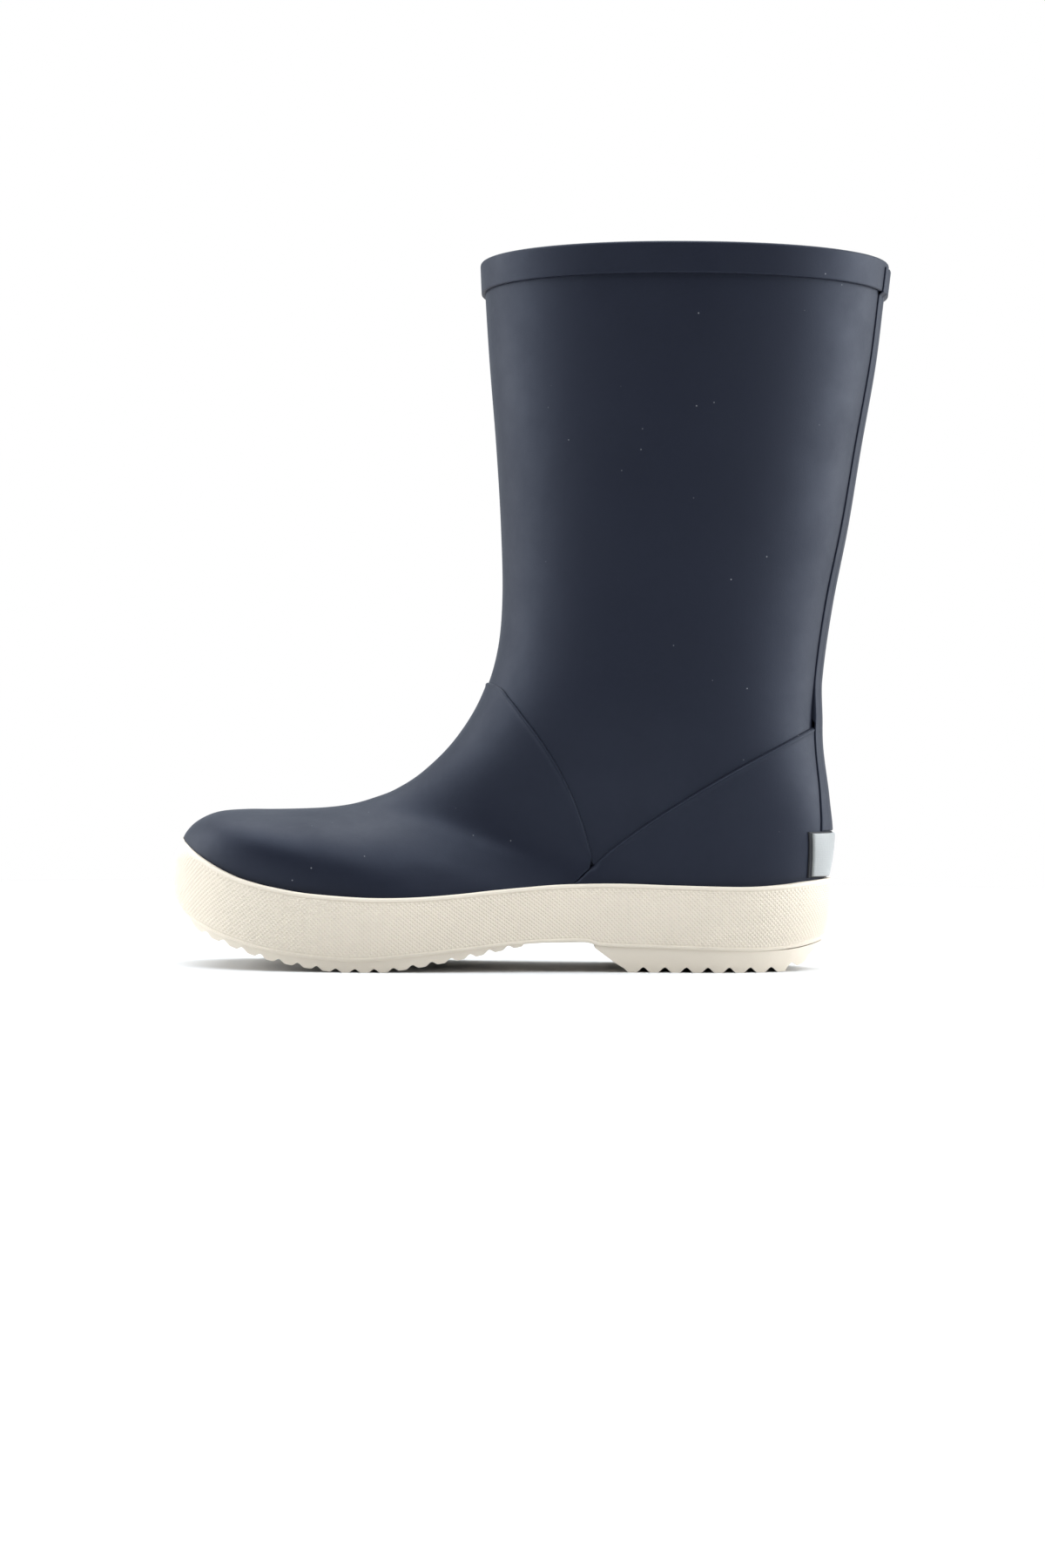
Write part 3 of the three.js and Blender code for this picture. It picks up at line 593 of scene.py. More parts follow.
def knitted(name, colour, pitch, shade):
    """Fine knit: ribs up the boot and courses across them, with a soft pile."""
    finish, tree, shader, at = new_finish(name, Specular_IOR_Level=0.2, Sheen_Weight=0.35, Sheen_Roughness=0.5)
    xyz = node(tree, "ShaderNodeSeparateXYZ", {0: at})
    turn = maths(tree, "ARCTAN2", times(tree, xyz.outputs["Y"], 1.45),
                 maths(tree, "SUBTRACT", xyz.outputs["X"], 0.054))
    ribs = maths(tree, "SINE", times(tree, turn, 2 * math.pi * 54 / pitch * 2))
    courses = maths(tree, "SINE", plus(tree, times(tree, xyz.outputs["Z"], 2 * math.pi * 1000 / pitch),
                                        times(tree, maths(tree, "ABSOLUTE", ribs), 1.8)))
    loops = times(tree, plus(tree, ribs, 1.2), plus(tree, courses, 1.4))
    cover = ranged(tree, loops, 0, 4.5, 0, 1)
    # the colour follows the loops' height: darker in the gaps (painted shade) and lighter on the tops (painted
    # highlight)
    tone = plus(tree, times(tree, cover, 0.7), times(tree, noise(tree, at, 35.0), 0.4))
    tree.links.new(mix_colour(tree, tone, rgba(colour, shade), rgba(colour, 1.25)), shader.inputs["Base Color"])
    tree.links.new(ranged(tree, cover, 0, 1, 0.98, 0.82), shader.inputs["Roughness"])
    fuzz = bump(tree, noise(tree, at, 1500.0, 2.0), 0.4, 0.0003)
    tree.links.new(bump(tree, loops, 0.5, 0.0003, fuzz), shader.inputs["Normal"])
    return finish


def woven(name, colour, pitch):
    """Plain woven cloth: threads over and under in both directions."""
    finish, tree, shader, at = new_finish(name, Specular_IOR_Level=0.2, Sheen_Weight=0.25, Sheen_Roughness=0.5)
    xyz = node(tree, "ShaderNodeSeparateXYZ", {0: at})
    beat = 2 * math.pi * 1000 / pitch
    across = maths(tree, "SINE", times(tree, plus(tree, xyz.outputs["X"], xyz.outputs["Z"]), beat))
    along = maths(tree, "SINE", times(tree, xyz.outputs["Y"], beat))
    weave = maths(tree, "ABSOLUTE", times(tree, across, along))
    # the colour follows the weave's height: lighter on the crossings (painted highlight) and darker between
    # threads (painted shade)
    tone = plus(tree, times(tree, weave, 0.6), times(tree, noise(tree, at, 60.0), 0.5))
    tree.links.new(mix_colour(tree, tone, rgba(colour, 0.7), rgba(colour, 1.35)), shader.inputs["Base Color"])
    tree.links.new(ranged(tree, weave, 0, 1, 0.95, 0.8), shader.inputs["Roughness"])
    fuzz = bump(tree, noise(tree, at, 1800.0, 2.0), 0.35, 0.0002)
    tree.links.new(bump(tree, weave, 0.5, 0.00025, fuzz), shader.inputs["Normal"])
    return finish


def reflective_film(name, colour):
    """Retroreflective film: a fine bead pattern under a satin face."""
    finish, tree, shader, at = new_finish(name, Specular_IOR_Level=0.6, Coat_Weight=0.15, Coat_Roughness=0.25)
    beads = node(tree, "ShaderNodeTexVoronoi", {"Vector": at, "Scale": 1400.0, "Randomness": 0.25})
    bead = ranged(tree, beads.outputs["Distance"], 0.0, 0.6, 1, 0)
    scuff = noise(tree, at, 130.0, 5.0, 0.65)
    # tone: beads lighter at their centres (painted glint) and darker at their rims (painted shade), mixed with
    # scuffs, which are real wear
    tone = plus(tree, times(tree, bead, 0.35), times(tree, scuff, 0.65))
    tree.links.new(mix_colour(tree, tone, rgba(colour, 0.86), rgba(colour, 1.1)), shader.inputs["Base Color"])
    tree.links.new(ranged(tree, scuff, 0.3, 0.7, 0.3, 0.46), shader.inputs["Roughness"])
    tree.links.new(bump(tree, bead, 0.35, 0.00008), shader.inputs["Normal"])
    return finish


def fibrous(name, colour, scale, roughness=0.9, metallic=0.0):
    """Pressed fibre, cork or foam, and brushed steel with metallic at 1: grains of two tones."""
    finish, tree, shader, at = new_finish(name, Specular_IOR_Level=0.3, Metallic=metallic)
    cells = node(tree, "ShaderNodeTexVoronoi", {"Vector": at, "Scale": scale, "Randomness": 1.0})
    grain = node(tree, "ShaderNodeSeparateColor", {0: cells.outputs["Color"]}).outputs[1]
    tone = plus(tree, times(tree, grain, 0.6), times(tree, noise(tree, at, scale / 6), 0.5))
    tree.links.new(mix_colour(tree, tone, rgba(colour, 0.7), rgba(colour, 1.3)), shader.inputs["Base Color"])
    tree.links.new(ranged(tree, grain, 0, 1, roughness - 0.06, roughness + 0.05), shader.inputs["Roughness"])
    tree.links.new(bump(tree, cells.outputs["Distance"], 0.4, 0.0002), shader.inputs["Normal"])
    return finish


def finish_of(name):
    """The finish of that name, made when it is first asked for."""
    made = f"{name}_finish"
    if made in bpy.data.materials:
        return bpy.data.materials[made]
    look = bpy.context.scene.deck_boot_finishes
    maker, *values = {
        "navy_rubber": (moulded_rubber, look.upper_colour, look.upper_roughness, 0.44, 0.07, 0.45, 1700.0,
                        0.00005, (0.68, 0.78, 1.0)),
        "cream_rubber": (moulded_rubber, look.sole_colour, look.sole_roughness, 0.35, 0.03, 0.0, 1300.0,
                         0.00006),
        "reflector_backing": (moulded_rubber, (0.03, 0.031, 0.035), 0.6, 0.3, 0.1, 0.3, 1400.0, 0.00006),
        # the knit's last value, 0.55, darkens the gaps between its loops: painted shade
        "knit_lining": (knitted, look.lining_colour, 1.3, 0.55),
        "footbed_fabric": (woven, look.footbed_colour, 1.1),
        "reflective_film": (reflective_film, look.patch_colour),
        "fibre_board": (fibrous, (0.30, 0.23, 0.14), 900.0),
        "cork_filler": (fibrous, (0.42, 0.27, 0.13), 500.0),
        "foam": (fibrous, (0.09, 0.11, 0.16), 1200.0),
        "spring_steel": (fibrous, (0.5, 0.51, 0.53), 1500.0, 0.35, 1.0),
    }[name]
    return maker(made, *values)


# ---------------------------------------------------------------- sizes and colours


def colour(name, description, default):
    return bpy.props.FloatVectorProperty(
        name=name, description=description, default=default, size=3, min=0, max=1, subtype="COLOR")


def share(name, description, default):
    return bpy.props.FloatProperty(
        name=name, description=description, default=default, min=0.1, max=1, subtype="FACTOR")


def length(name, description, default, low, high):
    return bpy.props.FloatProperty(
        name=name, description=description, default=default * MM, min=low * MM, max=high * MM,
        unit="LENGTH", precision=5)


class DeckBootFinishes(bpy.types.PropertyGroup):
    """Colours and gloss of the boot's materials."""

    upper_colour: colour("Upper", "Colour of the leg, vamp, counter, band and strip", (0.0042, 0.0052, 0.0118))
    upper_roughness: share("Upper roughness", "How matt the upper's rubber is", 0.54)
    sole_colour: colour("Sole", "Colour of the foxing, outsole and heel block", (0.70, 0.63, 0.53))
    sole_roughness: share("Sole roughness", "How matt the sole's rubber is", 0.6)
    lining_colour: colour("Lining", "Colour of the knitted lining", (0.045, 0.055, 0.085))
    footbed_colour: colour(
        "Footbed cloth", "Colour of the footbed's cloth and the seam tape", (0.035, 0.042, 0.06))
    patch_colour: colour("Reflective patch", "Colour of the film at the heel", (0.31, 0.32, 0.315))


class DeckBootSizes(bpy.types.PropertyGroup):
    """Sizes of the details that the panels are finished with."""

    edge_radius: length("Edge radius", "Radius of the rolled panel edges", 0.9, 0.2, 3)
    knurl_pitch: length("Knurl pitch", "Distance between the knurl's diamonds along the foxing", 1.7, 1.2, 4)
    knurl_depth: length("Knurl depth", "How far the diamonds stand out of the foxing", 0.34, 0.05, 1)
    tooth_pitch: length("Tread pitch", "Distance between the ribs under the forefoot", 7, 4, 12)
    tooth_depth: length("Tread depth", "Height of the ribs under the forefoot", 1.4, 0.5, 3)
    heel_tooth_pitch: length("Heel tread pitch", "Distance between the ribs under the heel", 8, 4, 14)
    heel_tooth_depth: length("Heel tread depth", "Height of the ribs under the heel", 2, 0.5, 4)


def sizes():
    return bpy.context.scene.deck_boot_sizes


OPERATORS = []


def operator(label):
    """Makes a function an operator of its own name, and lists it."""

    def listed(build):
        def execute(self, context):
            build(context)
            return {"FINISHED"}

        parts = {"__doc__": build.__doc__, "bl_idname": f"deckboot.{build.__name__}", "bl_label": label,
                 "execute": execute}
        OPERATORS.append(type(f"DECKBOOT_OT_{build.__name__}", (bpy.types.Operator,), parts))
        return build

    return listed


# ---------------------------------------------------------------- pieces of the upper

TOP_OF_LAYERS = 265.5


def s_of_height(z):
    """s of a level cut through the leg, where the sections are level."""
    s = np.linspace(0, 0.22, 400)
    return float(np.interp(-z, -skin(s, 0.25)[:, 2], s))


LAP_UNDER = 0.004


@operator("Leg panel")
def leg(context):
    """Makes the leg panel, from under the rim's band down to the seams of vamp and counter."""
    u = around([0, MEETING, 0.5, 1 - MEETING, 1], [56, 44, 44, 56])
    start = np.full(len(u), s_of_height(TOP_OF_LAYERS))
    s_rows = rows_between(start, leg_end(u) + LAP_UNDER, u, 96, finest_start=False)
    keep_piece(skin_sheet(s_rows, u, 0.0, RUBBER_IN, ring=True), "leg_panel", "navy_rubber", "leg_shell")


@operator("Vamp")
def vamp(context):
    """Makes the vamp, whose rolled edge lies on the leg."""
    u = around([-0.5, -MEETING, 0, MEETING, 0.5], [36, 52, 52, 36])
    start = vamp_start(u)
    s_rows = rows_between(start, np.ones(len(u)), u, 104)
    seam = np.abs(u) <= MEETING + 1e-6
    edge = skin(start[seam], u[seam])
    outer = edge_offsets(s_rows, u, edge, 0.0, VAMP_PROUD, sizes().edge_radius / MM * 0.8)
    bm = skin_sheet(s_rows, u, outer, RUBBER_IN, ring=True, cut=lasted_cut(s_rows, u))
    keep_piece(bm, "vamp_panel", "navy_rubber", "vamp")


@operator("Heel counter")
def counter(context):
    """Makes the heel counter, whose rolled edge laps over leg and vamp."""
    u = around([MEETING, 0.5, 1 - MEETING], [60, 60])
    mirrored = np.minimum(u, 1 - u)
    start, end = counter_start(mirrored), counter_end(mirrored)
    end[[0, -1]] = start[[0, -1]] = (start[0] + end[0]) / 2
    s_rows = rows_between(start, end, u, 90, finest_end=True)
    edge = np.concatenate([skin(start, u), skin(end, u)[::-1]])
    outer = edge_offsets(s_rows, u, edge, 0.0, COUNTER_PROUD, sizes().edge_radius / MM)
    bm = skin_sheet(s_rows, u, outer, RUBBER_IN, cut=lasted_cut(s_rows, u))
    keep_piece(bm, "counter_panel", "navy_rubber", "heel_counter")


def rounded_loop(corners, radii, steps=5):
    """A closed section through corners, each rounded by its own radius."""
    points = []
    count = len(corners)
    for i, (corner, radius) in enumerate(zip(corners, radii)):
        here = Vector(corner)
        back = (Vector(corners[i - 1]) - here).normalized()
        on = (Vector(corners[(i + 1) % count]) - here).normalized()
        if radius <= 0:
            points.append(here)
            continue
        a, b = here + back * radius, here + on * radius
        for k in range(steps + 1):
            t = k / steps
            points.append(a * (1 - t) ** 2 + here * 2 * t * (1 - t) + b * t**2)
    return np.array([tuple(p) for p in points])


@operator("Rim band")
def band(context):
    """Makes the band that folds over the rim and turns down inside."""
    low, inner_low = RIM - BAND_HEIGHT, RIM - BAND_TURN_IN
    corners = [(0.05, low), (BAND_OUT, low), (BAND_OUT, RIM), (BAND_INNER_FACE, RIM),
               (BAND_INNER_FACE, inner_low),
               (LINING_IN - 0.1, inner_low), (LINING_IN - 0.1, 265.7), (0.05, 265.7)]
    section = rounded_loop(corners, [0, 0.55, 1.1, 1.3, 0.4, 0, 0, 0])
    extra = [(BAND_OUT, z) for z in np.linspace(low + 1.2, RIM - 1.8, 6)]
    first = next(i for i, p in enumerate(section) if p[1] > low + 0.5 and p[0] > BAND_OUT - 0.01)
    section = np.concatenate([section[:first + 1], extra, section[first + 1:]])
    rows, columns = len(section), 176
    s = np.array([s_of_height(z) for z in section[:, 1]])
    bm = grid_mesh(columns, rows, ring=True, tube=True)
    place(bm, lambda i, j, deep: on_last(s[j % rows], (i % columns) / columns, section[j % rows, 0]))
    keep_piece(bm, "rim_band", "navy_rubber", "top_band", crease=50)


def on_back(z, y, offset):
    """Point on the boot's back at a height and a sideways place, moved outwards."""
    s_line = np.linspace(0, 0.52, 900)
    back_z = skin(s_line, 0.5)[:, 2]
    aim = np.array(z, float)
    for _ in range(5):
        s = np.interp(-aim, -back_z, s_line)
        low, high = np.full(len(s), 0.25), np.full(len(s), 0.75)
        for _ in range(26):
            middle = (low + high) / 2
            short = skin(s, middle)[:, 1] < y
            low, high = np.where(short, middle, low), np.where(short, high, middle)
        u = (low + high) / 2
        aim = aim + (z - skin(s, u)[:, 2])
    return on_last(s, u, offset)


MARGIN_STEPS = np.array([0, 0.08, 0.2, 0.36, 0.55, 0.8])


def marks(low, high, middle):
    """Places from low to high that lie close together near both ends."""
    inner = np.linspace(low + MARGIN_STEPS[-1], high - MARGIN_STEPS[-1], middle + 2)[1:-1]
    return np.concatenate([low + MARGIN_STEPS, inner, (high - MARGIN_STEPS)[::-1]])


def half_width_at(x, z):
    """Half width of the heel at each height, measured to the place where it is as far back as x."""
    across = np.linspace(0.5, 30, 90)
    where_x = np.array([on_back(z, np.full(len(z), -y), np.zeros(len(z)))[:, 0] for y in across])
    return np.array([across[np.argmax(column < x)] for column in where_x.T])


def back_sheet(half_width, low, high, columns, rows, inner, thickness, radius, extra_rows=()):
    """A sheet on the boot's back with rounded edges; inner gives its inner offset at a height and y,
    and thickness is a number or gives its thickness there.
    half_width is a number, or a list with one for the low edge and one for the high edge."""
    narrow, wide = (half_width, half_width) if np.isscalar(half_width) else half_width
    y = marks(-1.0 * narrow, 1.0 * narrow, columns)
    z = np.unique(np.concatenate([marks(low, high, rows), extra_rows]))
    bm = grid_mesh(len(y) - 1, len(z) - 1, thick=True)

    def where(i, j, deep):
        side = np.minimum(narrow - np.abs(y[i]), np.minimum(z[j] - low, high - z[j]))
        base = inner(z[j], y[i])
        rise = thickness(z[j], y[i]) if callable(thickness) else thickness
        rise = rise * (0.35 + 0.65 * rolled(side, radius))
        stretch = 1 + (wide / narrow - 1) * (z[j] - low) / (high - low)
        return on_back(z[j], y[i] * stretch, base + np.where(deep == 1, 0, rise))

    place(bm, where)
    return bm


STRIP_HALF = 15.5
STRIP_THICK = 0.9
PATCH_LOW, PATCH_HIGH = 35.4, 52.4
PATCH_FRONT = 113.3
PATCH_GRID = (40, 14)
TAPE_HALF, TAPE_LOW, TAPE_HIGH = 7.0, 76.5, 257.4
STRIP_STEP_LOW, STRIP_STEP_HIGH = 96.9, 255.5
STRIP_STEP_FALL = 0.0079
STRIP_LEDGE = 4.6


def even(offset):
    """The same offset at every height and y."""
    return lambda z, y: np.full(len(z), offset)


def strip_base(z, y):
    """Inner offset of the back strip: low on the leg, over the counter and over the band."""
    along_edge = z + STRIP_STEP_FALL * y * y
    over = np.interp(along_edge, [STRIP_STEP_LOW - 1.4, STRIP_STEP_LOW], [COUNTER_PROUD + 0.06, 0.05])
    return np.maximum(over, band_step(z))


def band_step(z):
    return np.interp(z, [STRIP_STEP_HIGH - 1.3, STRIP_STEP_HIGH], [0.05, BAND_OUT + 0.06])


def strip_thickness(z, y):
    """The strip's outer face runs smoothly over the counter's edge, and its middle stands higher."""
    over = (COUNTER_PROUD + 0.06) * (1 - smoothstep(z, STRIP_STEP_LOW - 4, STRIP_STEP_LOW + 14))
    outer = np.maximum(over, band_step(z)) + STRIP_THICK
    ledge = 0.3 * (1 - smoothstep(STRIP_HALF - np.abs(y), STRIP_LEDGE - 0.6, STRIP_LEDGE + 0.2))
    return outer - strip_base(z, y) - ledge


@operator("Back strip")
def strip(context):
    """Makes the back strip, from the band down to the reflective patch."""
    bends = (STRIP_STEP_LOW + 0.4, STRIP_STEP_HIGH - 0.6)
    steps = np.concatenate([np.linspace(at - 2.6, at + 1.8, 12) for at in bends])
    bm = back_sheet(STRIP_HALF, PATCH_HIGH + 0.2, RIM - 2.2, 44, 110, strip_base, strip_thickness, 0.6, steps)
    keep_piece(bm, "back_strip_band", "navy_rubber", "back_strip")


@operator("Reflective patch")
def patch(context):
    """Makes the reflective patch and its dark backing at the heel."""
    reach = half_width_at(PATCH_FRONT, np.array([PATCH_LOW, PATCH_HIGH]))
    backing = back_sheet(reach, PATCH_LOW, PATCH_HIGH, *PATCH_GRID, even(COUNTER_PROUD + 0.05), 0.7, 0.3)
    keep_piece(backing, "patch_backing", "reflector_backing", "reflector_backing")
    film_low, film_high = PATCH_LOW + 0.6, PATCH_HIGH - 0.5
    film = back_sheet(reach - 0.8, film_low, film_high, *PATCH_GRID, even(COUNTER_PROUD + 0.78), 0.95, 0.45)
    keep_piece(film, "patch_film", "reflective_film", "reflective_patch")


def ankle_level(points):
    """Above zero where a point lies below the seam of the two lining pieces."""
    return np.interp(points[..., 0], ANKLE_LINE[:, 0], ANKLE_LINE[:, 1]) - points[..., 2]


@operator("Lining")
def lining(context):
    """Makes the knitted lining of leg and foot, and the tape over its back seam."""
    u = around([0, 0.25, 0.5, 0.75, 1], [30, 30, 30, 30])
    start = np.full(len(u), s_of_height(265.4))
    split = first_crossing(np.minimum(u, 1 - u), ankle_level)
    leg = skin_sheet(rows_between(start, split, u, 70, finest_start=False), u, LINING_OUT, LINING_IN, ring=True)
    keep_piece(leg, "leg_knit", "knit_lining", "leg_lining")
    u = around([-0.5, 0, 0.5], [56, 56])
    split = first_crossing(np.abs(u), ankle_level)
    s_rows = rows_between(split + 0.001, np.ones(len(u)), u, 84, finest_start=False)
    foot = skin_sheet(s_rows, u, LINING_OUT, LINING_IN, ring=True, cut=lasted_cut(s_rows, u))
    keep_piece(foot, "foot_knit", "knit_lining", "foot_lining")
    tape = back_sheet(TAPE_HALF, TAPE_LOW, TAPE_HIGH, 8, 60, even(LINING_IN - 1.0), 0.7, 0.3)
    keep_piece(tape, "seam_tape", "footbed_fabric", "back_seam_tape")


BED_COLUMNS = 120
BED_END_ROOM = 0.5
BED_ARC = np.linspace(-math.pi / 2, math.pi / 2, 9)
BED_FLAT = np.linspace(-1, 1, 17)[1:-1]


def layer_reach(node):
    """Reach of a CAD layer inside the boot: its x, both sides' y and both faces' z."""
    drawn = TO_FRAME.inverted() @ frame["nodes"][node].matrix_world
    mesh = frame["nodes"][node].data
    corners = [drawn @ v.co for v in mesh.vertices]
    tree = BVHTree.FromPolygons(corners, [tuple(p.vertices) for p in mesh.polygons])
    start, end = min(c.x for c in corners) + BED_END_ROOM, max(c.x for c in corners) - BED_END_ROOM
    x = start + (end - start) * (1 - np.cos(np.linspace(0, math.pi, BED_COLUMNS + 1))) / 2
    inset = np.full(len(x), 4.0)
    middle = (side_y(x, inset, True) + side_y(x, inset, False)) / 2
    reach = []
    for at, y in zip(x, middle):
        top = tree.ray_cast(Vector((at, y, 120)), Vector((0, 0, -1)))[0].z
        low = tree.ray_cast(Vector((at, y, -20)), Vector((0, 0, 1)))[0].z
        level_here = (top + low) / 2
        sides = [tree.ray_cast(Vector((at, -way * 90, level_here)), Vector((0, way, 0)))[0].y
                 for way in (1, -1)]
        reach.append((min(sides), max(sides), low, top))
    return x, np.array(reach).T


def resting_layer(node, radius, crown):
    """A slab with rounded edges that fills the reach of a CAD layer; crown lifts its middle."""
    x, (near, far, low, top) = layer_reach(node)
    none = np.zeros(len(BED_FLAT))
    flat = np.concatenate([np.ones(len(BED_ARC)), BED_FLAT[::-1], -np.ones(len(BED_ARC)), BED_FLAT])
    out = np.concatenate([np.cos(BED_ARC), none, -np.cos(BED_ARC), none])
    up = np.concatenate([np.sin(BED_ARC), np.ones(len(BED_FLAT)), -np.sin(BED_ARC), -np.ones(len(BED_FLAT))])
    rows = len(flat)
    bm = grid_mesh(len(x) - 1, rows, tube=True)

    def where(i, j, deep):
        j = j % rows
        half, middle = (far[i] - near[i]) / 2, (far[i] + near[i]) / 2
        to_end = np.minimum(x[i] - x[0], x[-1] - x[i])
        thin = 0.3 + 0.7 * rolled(to_end, radius)
        edge = np.minimum(radius, half * 0.6)
        y = middle + flat[j] * (half - edge) + out[j] * edge
        share = (y - middle) / np.maximum(half, 1e-6)
        lift = crown * (1 - share**2) * (up[j] > 0)
        return np.column_stack([x[i], y, (low[i] + top[i]) / 2 + up[j] * (top[i] - low[i]) / 2 * thin + lift])

    place(bm, where)
    bmesh.ops.holes_fill(bm, edges=[e for e in bm.edges if e.is_boundary], sides=0)
    return bm


@operator("Footbed")
def footbed(context):
    """Makes the foam footbed with its rounded edge, and the cloth on it."""
    pad = keep_piece(resting_layer("footbed", 1.6, 0.3), "footbed_pad", "foam", "footbed")
    keep_piece(resting_layer("footbed_cover", 0.5, 0.35), "footbed_cloth", "footbed_fabric", "footbed_cover")


# ---------------------------------------------------------------- pieces of the sole


def upper_surface():
    """The upper's outer face as a search tree, for fitting the foxing against it."""
    u = np.linspace(0, 1, 181)
    s = np.linspace(0.3, 1, 200)
    bm = grid_mesh(180, 199, ring=True)

    def where(i, j, deep):
        s_here, u_here = s[j], u[i]
        proud = np.where(behind(COUNTER_SEAM, skin(s_here, u_here)) > 0, COUNTER_PROUD, VAMP_PROUD)
        return on_last(s_here, u_here, proud)

    place(bm, where)
    tree = BVHTree.FromBMesh(bm)
    bm.free()
    return tree


def fit_inset(tree, share, z, most):
    """How far in from the outline the upper is met, at each share and height."""
    found = []
    for here, height in zip(share, z):
        out = outline_point(np.array([here]), np.array([-6.0]))[0]
        inner = outline_point(np.array([here]), np.array([14.0]))[0]
        start = Vector((*out, height))
        aim = (Vector((*inner, height)) - start).normalized()
        hit = tree.ray_cast(start, aim, 30.0)
        found.append(min(hit[3] - 6.0, most) if hit[0] is not None else most)
    return np.array(found)


FIT_DROPS = np.array([0.1, 1.5, 3.0, 5.0, 12.0])
FOXING_EDGE = 0.3


@operator("Foxing strip")
def foxing(context):
    """Makes the foxing strip with its lips and raised-diamond knurl."""
    pitch, depth = sizes().knurl_pitch / MM, sizes().knurl_depth / MM
    columns = 2 * round(PERIMETER / pitch)
    share = np.arange(columns + 1) / columns
    x = outline_point(share, np.zeros(len(share)))[:, 0]
    top, bottom = level(TOP_LINE, x), level(BOTTOM_LINE, x)
    tree = upper_surface()
    knurl_rows = 26
    field = np.linspace(0, 1, knurl_rows + 1)
    upper_lip = [(0, 0.55), (-0.18, 0.2), (-0.5, 0.0), (-1.25, 0.0), (-1.45, depth)]
    lower_lip = [(1.3, depth), (1.1, 0.0), (0.5, 0.0), (0.15, 0.2), (0, 0.55)]
    fit = np.array([fit_inset(tree, share, top - drop, FOXING_LAP) for drop in FIT_DROPS])
    start = len(upper_lip)
    heights, insets = [], []
    for lift, inset in upper_lip:
        heights.append(top + lift)
        insets.append(np.full(len(x), inset))
    for f in field[1:-1]:
        heights.append((top - 1.45) * (1 - f) + (bottom + 1.3) * f)
        insets.append(np.full(len(x), depth))
    for lift, inset in lower_lip:
        heights.append(bottom + lift)
        insets.append(np.full(len(x), inset))
    heights += [bottom, bottom, top - 12.0, top - 5.0, top - 0.1]
    insets += [np.full(len(x), 2.8), np.full(len(x), FOXING_LAP), fit[-1] - 0.05, fit[-2] - 0.05, fit[0] - 0.05]
    heights, insets = np.array(heights), np.array(insets)
    upper_at = np.column_stack([np.interp(top[i] - heights[:, i], FIT_DROPS, fit[:, i]) for i in range(len(x))])
    rows = len(heights)
    bm = grid_mesh(columns, rows, ring=True, tube=True)
    column, row = bm.verts.layers.int["column"], bm.verts.layers.int["row"]
    first, last = start, start + knurl_rows - 2
    in_field = [v for v in bm.verts if first - 1 <= v[row] % rows <= last + 1]
    valleys = [v for v in in_field if (v[column] + v[row]) % 2 == (first - 1) % 2]
    bmesh.ops.connect_verts(bm, verts=valleys)

    def where(i, j, deep):
        j = j % rows
        i = i % columns
        peak = (j >= first) & (j <= last) & ((i + j) % 2 != (first - 1) % 2)
        inset = insets[j, i] - np.where(peak, depth, 0)
        z = heights[j, i]
        leaning = np.minimum(inset + tuck(x[i], z), upper_at[j, i] - FOXING_EDGE)
        p = outline_point(i / columns, np.where(j < rows - 3, leaning, inset))
        return np.column_stack([p, z])

    place(bm, where)
    keep_piece(bm, "foxing_strip", "cream_rubber", "foxing", crease=28)


def tooth(share):
    """Height of a rib's gap over its tip: 1 in the gap, 0 on the flat tip."""
    share = share % 1
    rise = np.where(share < 0.5, share / 0.34, (1 - share) / 0.34)
    return 1 - smoothstep(rise, 0.0, 1.0)


def sole_slab(x, low, high, inset):
    """A closed slab across the sole: low and high give its faces at each x, inset its side."""
    side = np.array([0, 0.02, 0.2, 0.5, 0.8, 1.0])
    flat = np.linspace(0, 1, 15)
    contour = [("low", f) for f in flat] + [("inner", f) for f in side[1:]] \
        + [("high", 1 - f) for f in flat[1:]] + [("outer", 1 - f) for f in side[1:-1]]
    rows = len(contour)
    kind = np.array([{"low": 0, "inner": 1, "high": 2, "outer": 3}[k] for k, _ in contour])
    part = np.array([f for _, f in contour])
    bm = grid_mesh(len(x) - 1, rows, tube=True)

    def where(i, j, deep):
        j = j % rows
        bottom, top = low[i], high[i]
        z = np.select([kind[j] == 0, kind[j] == 2], [bottom, top], bottom + (top - bottom) * part[j])
        y_out, y_in = (side_y(x[i], inset + tuck(x[i], z), outer) for outer in (True, False))
        across = np.select([kind[j] == 0, kind[j] == 2, kind[j] == 1], [part[j], part[j], 1.0], 0.0)
        return np.column_stack([x[i], y_out + (y_in - y_out) * across, z])

    place(bm, where)
    ends = [e for e in bm.edges if e.is_boundary]
    bmesh.ops.holes_fill(bm, edges=ends, sides=0)
    return bm


def tooth_places(start, end, pitch):
    count = round((end - start) / pitch)
    steps = np.array([0, 0.1, 0.2, 0.3, 0.36, 0.5, 0.64, 0.7, 0.8, 0.9])
    inner = start + (np.arange(count)[:, None] + steps).ravel() * (end - start) / count
    return np.concatenate([inner, [end]]), count


